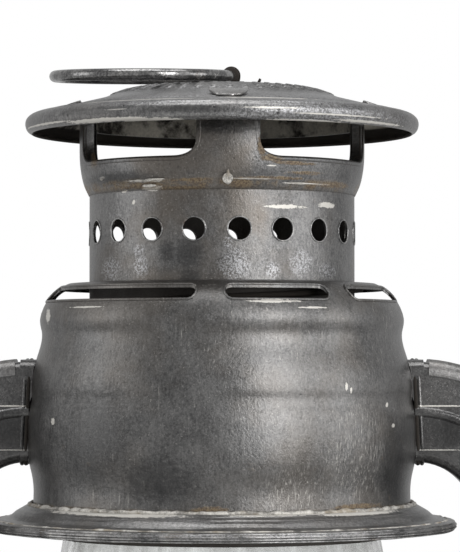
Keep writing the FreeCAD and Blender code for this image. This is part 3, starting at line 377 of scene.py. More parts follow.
def clear_glass(name):
    """Blown glass with faint waves and a dusty haze, smoked in upright streaks at its top."""
    finish = Finish(name)
    wave = finish.noise(26, 2, 0.4, (1, 1, 0.5))
    haze = finish.noise(90, 4, 0.6).between(0.45, 0.8)
    streaks = finish.noise(420, 4, 0.6, (1, 1, 0.2)).between(0.35, 0.65)
    smoked = finish.up.between(152 * MM, 160 * MM) * (0.35 + streaks)
    tint = finish.mix(smoked.at_most(1.0), (0.97, 0.985, 0.98), (0.62, 0.62, 0.61))
    finish.shader.inputs["Transmission Weight"].default_value = 1.0
    finish.shader.inputs["IOR"].default_value = 1.46
    finish.set(Base_Color=tint, Roughness=0.015 + haze * 0.05 + smoked * 0.12)
    finish.bump(wave, 0.4 * MM, 0.5)
    return finish.material


def woven_wick(name):
    """Flat cotton weave, charred at its top edge."""
    finish = Finish(name)
    weave = ((finish.across * 5200).sine() * (finish.up * 4200).sine()).between(-0.6, 0.8)
    char = finish.up.between(76.5 * MM, 79.5 * MM)
    tint = finish.mix(weave, (0.62, 0.57, 0.47), (0.86, 0.83, 0.75))
    tint = finish.mix(char * 0.95, tint, (0.03, 0.027, 0.025))
    finish.set(Base_Color=tint, Roughness=0.85 + weave * 0.1)
    finish.bump(weave, 0.2 * MM)
    return finish.material


def pressed_cork(name):
    """Cork grains in two browns."""
    finish = Finish(name)
    grain = finish.cells(900)
    tint = finish.mix(grain.between(0.1, 0.6), (0.24, 0.14, 0.07), (0.52, 0.36, 0.20))
    finish.set(Base_Color=tint, Roughness=0.8 + grain * 0.1)
    finish.bump(grain, 0.2 * MM)
    return finish.material


# Sizes and colours that a user would change


class LanternLook(bpy.types.PropertyGroup):
    # Darkened, this is also the colour of the painted shade among the stains.
    steel_dark: bpy.props.FloatVectorProperty(
        name="Steel dark", description="Darker tone of the aged steel", subtype="COLOR", size=3,
        default=(0.066, 0.066, 0.067))
    steel_light: bpy.props.FloatVectorProperty(
        name="Steel light", description="Lighter tone of the aged steel", subtype="COLOR", size=3,
        default=(0.270, 0.266, 0.262))
    # This is also the colour of the painted highlights among the pale marks.
    worn_pale: bpy.props.FloatVectorProperty(
        name="Worn pale", description="Rubbed edges and scratches", subtype="COLOR", size=3,
        default=(0.60, 0.58, 0.54))
    bloom: bpy.props.FloatVectorProperty(
        name="Bloom", description="Grey-white bloom on the coating", subtype="COLOR", size=3,
        default=(0.36, 0.36, 0.37))
    brown_tint: bpy.props.FloatVectorProperty(
        name="Brown tint", description="Warm film on the old coating", subtype="COLOR", size=3,
        default=(0.130, 0.112, 0.094))
    rust: bpy.props.FloatVectorProperty(
        name="Rust", description="Dark rust along seams", subtype="COLOR", size=3,
        default=(0.090, 0.052, 0.026))
    rust_pale: bpy.props.FloatVectorProperty(
        name="Rust pale", description="Yellow-brown rust stain", subtype="COLOR", size=3,
        default=(0.215, 0.158, 0.084))
    soot: bpy.props.FloatVectorProperty(
        name="Soot", description="Brown soot inside", subtype="COLOR", size=3, default=(0.030, 0.024, 0.019))
    solder_dark: bpy.props.FloatVectorProperty(
        name="Solder dark", description="Dull solder", subtype="COLOR", size=3, default=(0.20, 0.19, 0.175))
    brass_dark: bpy.props.FloatVectorProperty(
        name="Brass dark", description="Tarnished brass", subtype="COLOR", size=3,
        default=(0.16, 0.10, 0.045))
    brass_light: bpy.props.FloatVectorProperty(
        name="Brass light", description="Rubbed brass", subtype="COLOR", size=3, default=(0.50, 0.36, 0.17))
    roughness: bpy.props.FloatProperty(
        name="Roughness", description="Roughness of the aged steel", default=0.36, min=0.05, max=1.0,
        subtype="FACTOR")
    metal: bpy.props.FloatProperty(
        name="Metal", description="How metallic the aged steel is", default=0.92, min=0.0, max=1.0,
        subtype="FACTOR")
    relief: bpy.props.FloatProperty(
        name="Relief", description="Height of the steel's grain in millimetres", default=0.14,
        min=0.0, max=1.0)


class SheetSizes(bpy.types.PropertyGroup):
    gauge: bpy.props.FloatProperty(
        name="Gauge", description="Thickness of the sheet", default=0.0005, unit="LENGTH")
    cap_radius: bpy.props.FloatProperty(
        name="Cap radius", description="Radius of the cap's rim", default=0.0394, unit="LENGTH")
    cap_crest: bpy.props.FloatProperty(
        name="Cap crest", description="Height of the cap's crest ring", default=0.2508, unit="LENGTH")
    flutes: bpy.props.IntProperty(
        name="Flutes", description="Pressed flutes round the cap's crest", default=45)
    flute_rise: bpy.props.FloatProperty(
        name="Flute rise", description="How far each flute stands up", default=0.00026, unit="LENGTH")
    tube_radius: bpy.props.FloatProperty(
        name="Chimney radius", description="Outer radius of the chimney tube", default=0.0265, unit="LENGTH")
    punch_radius: bpy.props.FloatProperty(
        name="Punch radius", description="Radius of a punched hole", default=0.0023, unit="LENGTH")
    punch_height: bpy.props.FloatProperty(
        name="Punch height", description="Height of the row of punched holes", default=0.2216, unit="LENGTH")
    punches: bpy.props.IntProperty(
        name="Punches", description="Punched holes round the chimney tube", default=19)
    punch_turn: bpy.props.FloatProperty(
        name="Punch turn", description="Angle of the first hole from the front", default=math.radians(7.4),
        subtype="ANGLE")
    burr: bpy.props.FloatProperty(
        name="Burr", description="Radius of the raised edge of a hole or slot", default=0.00017,
        unit="LENGTH")
    slot_turn: bpy.props.FloatProperty(
        name="Slot turn", description="Angle of the first shoulder slot from the front",
        default=math.radians(18.9), subtype="ANGLE")
    slot_angle: bpy.props.FloatProperty(
        name="Slot angle", description="Angle that one shoulder slot spans", default=math.radians(31.2),
        subtype="ANGLE")
    slot_inner: bpy.props.FloatProperty(
        name="Slot inner", description="Radius of the slots' inner edge", default=0.0322, unit="LENGTH")
    slot_outer: bpy.props.FloatProperty(
        name="Slot outer", description="Radius of the slots' outer edge", default=0.0349, unit="LENGTH")


class StageSizes(bpy.types.PropertyGroup):
    camera_away: bpy.props.FloatProperty(
        name="Camera away", description="Distance from the camera to the lantern's axis", default=0.573,
        unit="LENGTH")
    camera_height: bpy.props.FloatProperty(
        name="Camera height", description="Height of the camera", default=0.1974, unit="LENGTH")
    camera_right: bpy.props.FloatProperty(
        name="Camera right", description="How far the camera stands right of the axis", default=0.0016,
        unit="LENGTH")
    camera_pitch: bpy.props.FloatProperty(
        name="Camera pitch", description="How far the camera looks up", default=math.radians(1.58),
        subtype="ANGLE")
    camera_lens: bpy.props.FloatProperty(
        name="Lens", description="Focal length in millimetres", default=186.8)
    floor_half: bpy.props.FloatProperty(
        name="Floor half width", description="Half of the floor's width", default=1.5, unit="LENGTH")


# Modelling helpers


def clean_start():
    if bpy.context.object and bpy.context.object.mode != "OBJECT":
        bpy.ops.object.mode_set(mode="OBJECT")
    bpy.ops.object.select_all(action="DESELECT")


def pick(piece):
    clean_start()
    piece.select_set(True)
    bpy.context.view_layer.objects.active = piece


def settle(piece, name, finish, body, smooth=35):
    """Name a finished piece, put its place in its mesh, give it its finish and let it ride."""
    pick(piece)
    bpy.ops.object.transform_apply(location=True, rotation=True, scale=True)
    bpy.ops.object.shade_smooth_by_angle(angle=math.radians(smooth))
    piece.name = name
    piece.data.name = name
    piece.data.materials.clear()
    piece.data.materials.append(FINISHES[finish])
    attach(piece, body)


def second_finish(piece, finish, wanted):
    """Give another finish to the faces whose middle and normal pass the test."""
    piece.data.materials.append(FINISHES[finish])
    for face in piece.data.polygons:
        if wanted(face.center, face.normal):
            face.material_index = 1


def modify(piece, kind, **settings):
    pick(piece)
    modifier = piece.modifiers.new(kind.lower(), kind)
    for word, value in settings.items():
        setattr(modifier, word, value)
    bpy.ops.object.modifier_apply(modifier=modifier.name)


def soften(piece, width, sharper_than, segments=2):
    """Bevel the edges that turn by more than an angle in degrees; the width is in millimetres."""
    modify(
        piece, "BEVEL", width=width * MM, segments=segments, limit_method="ANGLE",
        angle_limit=math.radians(sharper_than))


def cut_out(piece, cutter):
    modify(piece, "BOOLEAN", object=cutter, operation="DIFFERENCE", solver="EXACT")
    pick(cutter)
    bpy.ops.object.delete()


def join(pieces):
    clean_start()
    for piece in pieces:
        piece.select_set(True)
    bpy.context.view_layer.objects.active = pieces[0]
    bpy.ops.object.join()
    return pieces[0]


def turned(piece, angle):
    pick(piece)
    piece.rotation_euler.z = angle
    bpy.ops.object.transform_apply(location=True, rotation=True, scale=True)
    return piece


def copies_at(piece, angles):
    """Copies of the piece, turned about the axis, as one in its place."""
    made = []
    for angle in angles:
        pick(piece)
        bpy.ops.object.duplicate(linked=False)
        made.append(turned(bpy.context.object, angle))
    pick(piece)
    bpy.ops.object.delete()
    return join(made)


def rounded(corners, steps=4):
    """An outline in millimetres, whose corners with a third number are rounded by up to that much."""
    most = 0.48
    made = []
    for i, corner in enumerate(corners):
        point = Vector(corner[:2])
        if len(corner) < 3:
            made.append(point)
            continue
        before = Vector(corners[i - 1][:2]) - point
        after = Vector(corners[i + 1][:2]) - point
        start = point + before.normalized() * min(corner[2], before.length * most)
        end = point + after.normalized() * min(corner[2], after.length * most)
        for k in range(steps + 1):
            t = k / steps
            made.append(start * (1 - t) ** 2 + point * (2 * t * (1 - t)) + end * t * t)
    return made


def led_along(places):
    """One vertex led from place to place in edit mode, which leaves a chain of edges."""
    clean_start()
    bpy.ops.mesh.primitive_plane_add(size=MM)
    bpy.ops.object.mode_set(mode="EDIT")
    bpy.ops.mesh.select_mode(type="VERT")
    bpy.ops.mesh.merge(type="CENTER")
    here = Vector(places[0])
    bpy.ops.transform.translate(value=here)
    for place in places[1:]:
        way = Vector(place) - here
        bpy.ops.mesh.extrude_region_move(TRANSFORM_OT_translate={"value": way})
        here = Vector(place)
    bpy.ops.mesh.select_all(action="SELECT")
    bpy.ops.mesh.remove_doubles(threshold=0.001 * MM)
    return bpy.context.object


def prism(route, way):
    """A closed block on a closed route of places, drawn out by a way."""
    block = led_along(route)
    bpy.ops.mesh.edge_face_add()
    bpy.ops.mesh.extrude_region_move(TRANSFORM_OT_translate={"value": way})
    bpy.ops.mesh.select_all(action="SELECT")
    bpy.ops.mesh.normals_make_consistent(inside=False)
    bpy.ops.object.mode_set(mode="OBJECT")
    return block


def lathe(outline, turns):
    """A skin spun from an outline in millimetres, with its outside outwards."""
    piece = led_along([(point[0] * MM, 0, point[1] * MM) for point in outline])
    bpy.ops.mesh.spin(steps=turns, angle=math.tau, center=(0, 0, 0), axis=(0, 0, 1))
    bpy.ops.mesh.select_all(action="SELECT")
    bpy.ops.mesh.remove_doubles(threshold=0.001 * MM)
    bpy.ops.mesh.normals_make_consistent(inside=False)
    bpy.ops.object.mode_set(mode="OBJECT")
    return piece


def wire_through(places, radius, closed=False, sides=3):
    """A round wire through places in metres."""
    piece = led_along(list(places) + ([places[0]] if closed else []))
    bpy.ops.object.mode_set(mode="OBJECT")
    bpy.ops.object.convert(target="CURVE")
    piece = bpy.context.object
    piece.data.bevel_depth = radius
    piece.data.bevel_resolution = sides
    piece.data.use_fill_caps = True
    bpy.ops.object.convert(target="MESH")
    return bpy.context.object


def select_faces(piece, wanted):
    """Select in edit mode the faces whose middle and normal pass the test."""
    pick(piece)
    bpy.ops.object.mode_set(mode="EDIT")
    bpy.ops.mesh.select_mode(type="FACE")
    bpy.ops.mesh.select_all(action="DESELECT")
    edit = bmesh.from_edit_mesh(piece.data)
    for face in edit.faces:
        face.select_set(bool(wanted(face.calc_center_median(), face.normal)))
    bmesh.update_edit_mesh(piece.data)


def lumpy(piece, size, height):
    """Push a piece's skin in and out in soft lumps of a size, by up to a height."""
    cloud = bpy.data.textures.new("lumps", "CLOUDS")
    cloud.noise_scale = size
    cloud.noise_depth = 2
    modify(piece, "DISPLACE", texture=cloud, texture_coords="LOCAL", strength=height * 2, mid_level=0.5)
    bpy.data.textures.remove(cloud)


def turned_from_front(angle, radius, height):
    """The place at a radius and height, turned from the front towards the right."""
    return Vector((radius * math.sin(angle), -radius * math.cos(angle), height))


# What each sheet piece's skin shows; a place is its middle across and up and its half sizes, in millimetres

CHIMNEY_WEAR_AND_PAINTED_SHADE = WearAndPaintedLight(
    tone=1.05, streaks=0.2, warm=0.35, spots=0.5, seams=(230.2,), seam_wide=1.0,
    sooty_below=211.4, sooty_inside=True,
    pale=(
        (12.6, 225.9, 4.4, 0.42), (20.4, 226.5, 1.7, 0.6), (-14.7, 230.9, 4.2, 0.36),
        (-13.4, 229.5, 2.0, 0.6),
        (-18.9, 229.0, 0.5, 0.25), (-23.3, 231.9, 0.6, 0.3), (6.0, 231.1, 5.0, 0.16), (16.5, 230.4, 4.5, 0.2),
        (9.5, 233.6, 1.0, 0.15), (-17.0, 226.9, 0.35, 0.5),
    ),
    bloom=(
        (-21.6, 214.0, 2.2, 2.8), (2.3, 214.6, 3.4, 3.6), (9.9, 213.6, 1.5, 1.6), (15.2, 215.0, 2.4, 3.0),
        (-15.6, 214.6, 1.6, 2.4), (20.6, 213.8, 2.0, 1.6), (1.4, 219.0, 1.2, 1.6), (-16.0, 217.6, 1.2, 1.4),
    ),
    # The marks at -27.6 and 27.6 across are painted shade on the crown's side posts.
    stain=(
        (-6.1, 216.8, 3.0, 3.6), (-10.5, 217.4, 1.8, 2.4), (-6.0, 212.6, 2.2, 2.0), (-27.6, 240.0, 2.6, 7.0),
        (27.6, 240.0, 2.6, 7.0), (1.0, 241.0, 7.0, 1.6), (-20.0, 231.6, 8.0, 1.4),
    ),
    rust=(
        (7.6, 237.4, 0.8, 2.6), (9.6, 235.0, 2.6, 0.7), (14.0, 234.2, 4.6, 0.4), (21.5, 230.5, 3.6, 0.7),
        (16.0, 232.4, 4.0, 0.4), (3.6, 230.4, 2.4, 1.1), (-5.6, 230.9, 4.4, 0.4), (-8.0, 229.4, 6.0, 0.4),
        (24.0, 238.0, 0.8, 2.0), (-25.0, 236.0, 0.8, 2.0), (-16.0, 230.0, 5.0, 0.7), (10.0, 231.3, 6.0, 0.35),
    ),
)
CHAMBER_WEAR_AND_PAINTED_LIGHT = WearAndPaintedLight(
    tone=0.80, streaks=1.0, warm=0.05, seams=(167.7,), seam_wide=0.7, sooty_inside=True, spots=0.35,
    # Painted highlights among these: the marks at 206.4 to 207.6 up, where the key light catches the
    # shoulder, and the glints at -32.5 and 33.1 across.
    pale=(
        (23.7, 191.4, 0.3, 0.9), (24.6, 190.6, 0.25, 0.6), (-32.5, 184.6, 0.4, 0.7), (31.8, 187.8, 0.3, 0.5),
        (33.1, 183.8, 0.35, 0.4), (9.8, 207.6, 5.4, 0.35), (-26.0, 206.6, 3.4, 0.18), (17.5, 206.4, 3.0, 0.2),
        (-34.0, 205.0, 0.5, 1.6),
    ),
    # These stains are painted shade, darkening the wall's left side and right edge away from the key light.
    stain=((-24.0, 182.0, 8.0, 12.0), (-12.0, 174.0, 8.0, 5.0), (33.0, 176.0, 3.0, 8.0)),
    rust=((-2.0, 168.4, 4.0, 0.7), (26.0, 168.6, 5.0, 0.6)),
    brushed=((26.0, 178.0, 7.5, 13.0), (14.0, 172.0, 7.0, 5.0)),
)
CAP_WEAR_AND_PAINTED_LIGHT = WearAndPaintedLight(
    # The tone is raised and cooled partly as painted reflection of the pale surroundings in the upward-facing
    # top.
    tone=1.4, streaks=0.0, rings=0.35, warm=-0.2,
    pale=(
        (-22.0, 241.9, 8.0, 0.42), (-13.0, 241.5, 6.0, 0.5), (-6.0, 241.2, 8.0, 0.25),
        (-34.0, 242.2, 5.0, 0.2), (-16.0, 245.6, 12.0, 0.12), (3.0, 241.2, 7.0, 0.12), (8.0, 245.9, 9.0, 0.1),
        (-20.0, 243.7, 2.2, 0.12),
        # Painted light on the rim: (9.6, 243.7) is a highlight where the key light catches the rolled rim,
        # and (22.0, 242.8) brightens the rim's right half, which faces the key light.
        (9.6, 243.7, 6.0, 0.22), (16.0, 241.5, 8.0, 0.24), (28.0, 241.9, 7.0, 0.24), (22.0, 242.8, 9.0, 0.16),
    ),
    bloom=(
        (-10.0, 247.4, 22.0, 3.0), (18.0, 246.5, 16.0, 2.4), (20.0, 243.0, 18.0, 1.9),
        (14.0, 242.4, 16.0, 1.4),
    ),
    stain=((-4.0, 243.4, 12.0, 0.8), (-25.0, 243.6, 8.0, 0.8)),
)
BRIM_WEAR = WearAndPaintedLight(
    tone=1.6, streaks=0.0, rings=0.5, matt=0.14, spots=0.5,
    bloom=((0.0, 163.6, 46.0, 1.0),),
    pale=((-20.0, 167.4, 14.0, 0.4), (10.0, 167.6, 10.0, 0.3), (26.0, 167.4, 8.0, 0.4)),
)
TUBE_WEAR_AND_PAINTED_LIGHT = WearAndPaintedLight(
    tone=0.85, streaks=0.15, warm=-0.2, spots=0.4, polish=0.8,
    # These pale marks are painted light: a highlight along each tube's rib at 187.3 up and a reflection along
    # its lower lip at 178.6 up.
    pale=(
        (-42.0, 187.3, 5.6, 0.16), (43.0, 187.3, 6.0, 0.16), (-42.0, 178.6, 5.0, 0.1),
        (43.0, 178.6, 5.0, 0.1),
    ),
    # These stains are painted shade in each tube's recessed lower half.
    stain=((-42.0, 182.6, 7.0, 4.4), (43.0, 182.6, 7.0, 4.4)),
)
SEAM_WEAR = WearAndPaintedLight(tone=1.25, streaks=0.4, warm=0.2)
TANK_WEAR = WearAndPaintedLight(streaks=1.2, warm=0.2, seams=(1.0, 45.5), seam_wide=1.2)
TAB_PAINTED_HIGHLIGHT = WearAndPaintedLight(tone=2.1, streaks=0.0, spots=0.0, polish=1.0)
SHEETS = {
    "chimney": CHIMNEY_WEAR_AND_PAINTED_SHADE, "chamber": CHAMBER_WEAR_AND_PAINTED_LIGHT, "cap": CAP_WEAR_AND_PAINTED_LIGHT, "brim": BRIM_WEAR, "tube": TUBE_WEAR_AND_PAINTED_LIGHT,
    "seam": SEAM_WEAR, "tank": TANK_WEAR, "plain": WearAndPaintedLight(),
}

# The finish of each material slot, and of the nodes that differ from their slot
SLOT_FINISH = {
    "galvanised_steel": "plain", "aged_cap_steel": "cap", "steel_wire": "wire", "burner_brass": "brass",
    "clear_glass": "glass", "wick_cotton": "wick", "cork": "cork",
}
NODE_FINISH = {
    "air_chamber": "chamber", "chamber_brim": "brim", "chimney_tube": "chimney", "chimney_bell": "chimney",
    "chimney_crown": "chimney", "crown_pip": "solder", "air_tube_left": "tube", "air_tube_right": "tube",
    "tube_seam_left": "seam", "tube_seam_right": "seam", "tank_shell": "tank", "ring_clip": "soot",
    "clip_rivet": "soot", "pull_ring": "ring", "chimney_spring": "soot",
}


class LANTERN_OT_finishes(bpy.types.Operator):
    """Make the finishes and give one to every piece of the frame"""

    bl_idname = "lantern.finishes"
    bl_label = "Finishes"

    def execute(self, context):
        look = context.scene.lantern_look
        for word, wear_and_painted_light in SHEETS.items():
            FINISHES[word] = aged_steel(f"{word}_steel", look, wear_and_painted_light)
        # Both black finishes carry a pale mottled band of painted light, from 244.6 and from 242.4
        # millimetres up.
        FINISHES["soot"] = soot_with_painted_light("soot_with_painted_light", look, 244.6)
        FINISHES["painted_lit"] = soot_with_painted_light("painted_lit_soot", look, 242.4)
        FINISHES["wire"] = wire_steel("wire_steel", look)
        FINISHES["rim"] = wire_steel("rubbed_rim", look, 1.5)
        # The front tab's finish is a painted highlight: bright where the tab's face catches the key light.
        FINISHES["rubbed"] = aged_steel("painted_highlight_tab", look, TAB_PAINTED_HIGHLIGHT)
        FINISHES["ring"] = wire_steel("ring_wire", look, 1.2, 0.65)
        FINISHES["solder"] = solder("solder", look)
        FINISHES["brass"] = old_brass("old_brass", look)
        FINISHES["glass"] = clear_glass("clear_glass")
        FINISHES["wick"] = woven_wick("woven_wick")
        FINISHES["cork"] = pressed_cork("pressed_cork")
        slots = {part["node"]: part["material_slot"] for part in frame["record"]["subparts"]}
        for node, item in NODES.items():
            word = NODE_FINISH.get(node) or SLOT_FINISH[slots[node]]
            item.data.materials.clear()
            item.data.materials.append(FINISHES[word])
        return {"FINISHED"}


# The cap's outline from its middle: radius, drop below the crest, and how much the corner is rounded
CAP_TOP = (
    (0, 0.9), (9.0, 0.9, 2.0), (13.5, 0.2, 2.0), (16.7, 0.1, 1.6), (18.2, 0.45), (20.4, 0.95), (22.6, 1.75),
    (24.2, 2.4, 1.2), (31.7, 4.25), (32.1, 4.5, 0.3), (35.2, 4.8, 0.5), (35.7, 5.05, 0.3), (38.0, 5.4, 1.4),
)
# Its rolled rim: how far in from the rim's radius, drop below the crest, and rounding
CAP_RIM = ((0.2, 6.4, 1.0), (0, 7.6, 0.9), (0.4, 8.8, 0.7), (1.4, 9.4))


class LANTERN_OT_cap(bpy.types.Operator):
    """Spin the pressed cap with its crest, flutes and rolled rim"""

    bl_idname = "lantern.cap"
    bl_label = "Cap"

    flutes_from, flutes_to, flute_edge = 18.2, 22.6, 0.22
    wall_from, lip_wide, wall_drop = 30.0, 1.6, 5.8

    def execute(self, context):
        sizes = context.scene.lantern_sheet
        rim, crest = sizes.cap_radius / MM, sizes.cap_crest / MM
        outline = [(radius, crest - drop, *corner) for radius, drop, *corner in CAP_TOP]
        outline += [(rim - inset, crest - drop, *corner) for inset, drop, *corner in CAP_RIM]
        piece = lathe(rounded(outline), sizes.flutes * 4)

        def on_flute(middle, normal):
            radius = math.hypot(middle.x, middle.y) / MM
            part = (math.atan2(middle.y, middle.x) / math.tau * sizes.flutes) % 1
            return self.flutes_from < radius < self.flutes_to and part < 0.5

        select_faces(piece, on_flute)
        bpy.ops.mesh.inset(thickness=self.flute_edge * MM, use_even_offset=True)
        bpy.ops.transform.translate(value=(0, 0, sizes.flute_rise))
        bpy.ops.object.mode_set(mode="OBJECT")
        modify(piece, "SOLIDIFY", thickness=sizes.gauge, offset=-1, use_even_offset=True)
        soften(piece, 0.1, 60)
        settle(piece, "pressed_cap", "cap", "chimney", 50)

        # The underside and the rim's inner face take the black finish: black on the rim's inner face, with a
        # pale mottled band of painted light over the underside's slope.
        def sooty(middle, normal):
            away = math.hypot(middle.x, middle.y)
            inward = normal.x * middle.x + normal.y * middle.y < 0 and away > self.wall_from * MM
            low = normal.z < -0.3 and away < sizes.cap_radius - self.lip_wide * MM
            return low or (inward and middle.z < sizes.cap_crest - self.wall_drop * MM)

        second_finish(piece, "soot", sooty)
        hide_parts("cap")
        return {"FINISHED"}


class LANTERN_OT_crown(bpy.types.Operator):
    """Spin the crown, cut its four windows, turn their edges in and fold the tabs over the cap"""

    bl_idname = "lantern.crown"
    bl_label = "Crown"

    radius = 28.5
    outline = ((28.5, 246.9), (28.5, 235.4, 2.6), (27.75, 231.4, 1.6), (26.64, 229.1))
    half, corner, low, high, edge_high = 15.35, 4.4, 235.3, 242.8, 246.4
    turn = math.radians(2.6)
    roll_inset, roll_thick, roll_out = 0.52, 0.56, 0.30
    flange_inset, flange_thick, flange_out, flange_shrink = 0.5, 0.45, 0.12, 0.935

    def execute(self, context):
        sizes = context.scene.lantern_sheet
        crown = lathe(rounded(self.outline), 240)
        modify(crown, "SOLIDIFY", thickness=sizes.gauge, offset=-1, use_even_offset=True)
        cut_out(crown, self.at_windows(prism(self.window(), (0, 35 * MM, 0))))
        soften(crown, 0.12, 50)
        crown = join([crown, self.at_windows(self.edge_roll()), self.at_windows(self.flange())])
        settle(crown, "window_crown", "chimney", "chimney", 40)

        def top_inside(middle, normal):
            return normal.x * middle.x + normal.y * middle.y < 0 and middle.z > self.high * MM

        # The crown's inside above the windows takes the black finish with its pale mottled band of painted
        # light, where it shows lit through the windows.
        second_finish(crown, "painted_lit", top_inside)
        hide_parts("chimney_crown")
        front = self.tab(sizes, self.turn, 0.45)
        # The front tab's bright finish is a painted highlight of the key light on its face.
        settle(front, "folded_tab_front", "rubbed", "chimney", 50)
        quarter = math.pi / 2
        others = join([self.tab(sizes, angle, 0.3) for angle in (quarter, math.pi - self.turn, -quarter)])
        settle(others, "folded_tabs", "plain", "chimney", 50)
        return {"FINISHED"}

    def at_windows(self, piece):
        """The piece at each window; seen from the front, the back post stands behind the front one."""
        eighth = math.tau / 8
        return copies_at(piece, (
            self.turn - eighth, self.turn + eighth, -self.turn - 3 * eighth, -self.turn + 3 * eighth,
        ))

    def window(self):
        """A window's outline as seen from the front, with rounded lower corners."""
        half, corner, low, high = self.half, self.corner, self.low, self.high
        shape = rounded([(-half, high), (-half, low, corner), (half, low, corner), (half, high)], 8)
        return [(point.x * MM, -40 * MM, point.y * MM) for point in shape + [shape[0]]]

    def edge_places(self, radius, out):
        """Places along a window's sides and foot on the crown's skin, moved out from the window."""
        half, corner, low, high = self.half + out, self.corner + out, self.low - out, self.edge_high
        shape = rounded([(-half, high), (-half, low, corner), (half, low, corner), (half, high)], 10)
        places = []
        for a, b in zip(shape, shape[1:]):
            parts = max(1, round((b - a).length / 1.6))
            places += [a.lerp(b, k / parts) for k in range(parts)]
        places.append(shape[-1])
        return [(p.x * MM, -math.sqrt(radius * radius - p.x * p.x) * MM, p.y * MM) for p in places]

    def edge_roll(self):
        route = self.edge_places(self.radius - self.roll_inset, self.roll_out)
        return wire_through(route, self.roll_thick * MM)

    def flange(self):
        strip = led_along(self.edge_places(self.radius - self.flange_inset, self.flange_out))
        bpy.ops.mesh.select_all(action="SELECT")
        bpy.ops.mesh.extrude_region_move(TRANSFORM_OT_translate={"value": (0, 0, 0)})
        bpy.ops.transform.resize(
            value=(self.flange_shrink, self.flange_shrink, 1), center_override=(0, 0, 0))
        bpy.ops.object.mode_set(mode="OBJECT")
        modify(strip, "SOLIDIFY", thickness=self.flange_thick * MM, offset=0)
        return strip

    def tab(self, sizes, angle, rise):
        """A round-ended flap that leans out over the cap's slope."""
        half, long, start, steps = 3.75, 5.0, self.radius - 0.4, 18
        slope_from, slope_drop, slope, clear = 24.2, 2.4, 0.247, 0.2
        places = []
        for k in range(steps + 1):
            turn = math.pi * k / steps
            places.append((-half * math.cos(turn) * MM, -(start + long * math.sin(turn)) * MM, 0))
        flap = led_along(places + [places[0]])
        bpy.ops.mesh.edge_face_add()
        bpy.ops.mesh.select_all(action="SELECT")
        high = (sizes.cap_crest / MM - slope_drop - (start - slope_from) * slope + rise + clear) * MM
        lean = math.atan2(rise + long * slope, long)
        bpy.ops.transform.rotate(value=-lean, orient_axis="X", center_override=(0, -start * MM, 0))
        bpy.ops.transform.translate(value=(0, 0, high))
        bpy.ops.object.mode_set(mode="OBJECT")
        if flap.data.vertices[len(flap.data.vertices) // 2].co.z > high:
            raise RuntimeError("the tab leans up")
        modify(flap, "SOLIDIFY", thickness=sizes.gauge, offset=0)
        soften(flap, 0.14, 50)
        return turned(flap, angle)


class LANTERN_OT_hole_rims(bpy.types.Operator):
    """The raised burr round every punched hole of the chimney tube"""

    bl_idname = "lantern.hole_rims"
    bl_label = "Hole rims"

    def execute(self, context):
        sizes = context.scene.lantern_sheet
        clean_start()
        bpy.ops.mesh.primitive_torus_add(
            major_radius=sizes.punch_radius, minor_radius=sizes.burr, major_segments=36, minor_segments=8,
            rotation=(math.radians(90), 0, 0), location=(0, 0, sizes.punch_height))
        rim = bpy.context.object
        bpy.ops.object.transform_apply(location=True, rotation=True, scale=True)
        wide = 2 * (sizes.punch_radius + sizes.burr)
        modify(rim, "SIMPLE_DEFORM", deform_method="BEND", deform_axis="Z", angle=wide / sizes.tube_radius)
        pick(rim)
        bpy.ops.object.mode_set(mode="EDIT")
        bpy.ops.mesh.select_all(action="SELECT")
        bpy.ops.transform.translate(value=(0, -sizes.tube_radius, 0))
        bpy.ops.object.mode_set(mode="OBJECT")
        rims = copies_at(rim, [sizes.punch_turn + i * math.tau / sizes.punches for i in range(sizes.punches)])
        settle(rims, "punched_rims", "rim", "chimney", 60)
        return {"FINISHED"}


# The chamber's wall below its shoulder: radius, height, and how much the corner is rounded
CHAMBER_WALL = (
    (36.45, 204.0, 9), (35.65, 200.8, 9), (37.5, 195.2, 9), (38.2, 191.4, 9), (37.9, 188.6, 9),
    (38.8, 185.6, 9), (38.8, 177.2, 9), (37.5, 172.2, 9), (37.6, 167.65),
)
SLOT_COUNT = 8
TORN_WEB = 6
TUBE_HEIGHT = 186.1


def shoulder_height(radius):
    """Height of the chamber's rounded shoulder over a radius, in metres."""
    middle_radius, middle_height, bend = 27.27 * MM, 203.02 * MM, 9.2 * MM
    return middle_height + math.sqrt(bend * bend - (radius - middle_radius) ** 2)


def slot_spans(sizes):
    """First and last angle of every shoulder slot; two of them run together where a web is torn out."""
    half = sizes.slot_angle / 2
    middles = [sizes.slot_turn + k * math.tau / SLOT_COUNT for k in range(SLOT_COUNT)]
    spans = [(middle - half, middle + half) for middle in middles]
    first, second = spans[TORN_WEB:TORN_WEB + 2]
    return spans[:TORN_WEB] + [(first[0], second[1])]


def slot_edge(sizes, span, out):
    """Angles and radii round one slot's edge, moved out from the slot."""
    first, last = span
    inner, outer = sizes.slot_inner - out, sizes.slot_outer + out
    end, middle = (outer - inner) / 2, (outer + inner) / 2
    steps = max(8, round((last - first) / math.radians(3)))
    turns = [math.pi / 6 * i for i in range(1, 6)]
    edge = [(first + (last - first) * i / steps, outer) for i in range(steps + 1)]
    edge += [(last + end * math.sin(turn) / middle, middle + end * math.cos(turn)) for turn in turns]
    edge += [(last + (first - last) * i / steps, inner) for i in range(steps + 1)]
    edge += [(first - end * math.sin(turn) / middle, middle - end * math.cos(turn)) for turn in turns]
    return edge


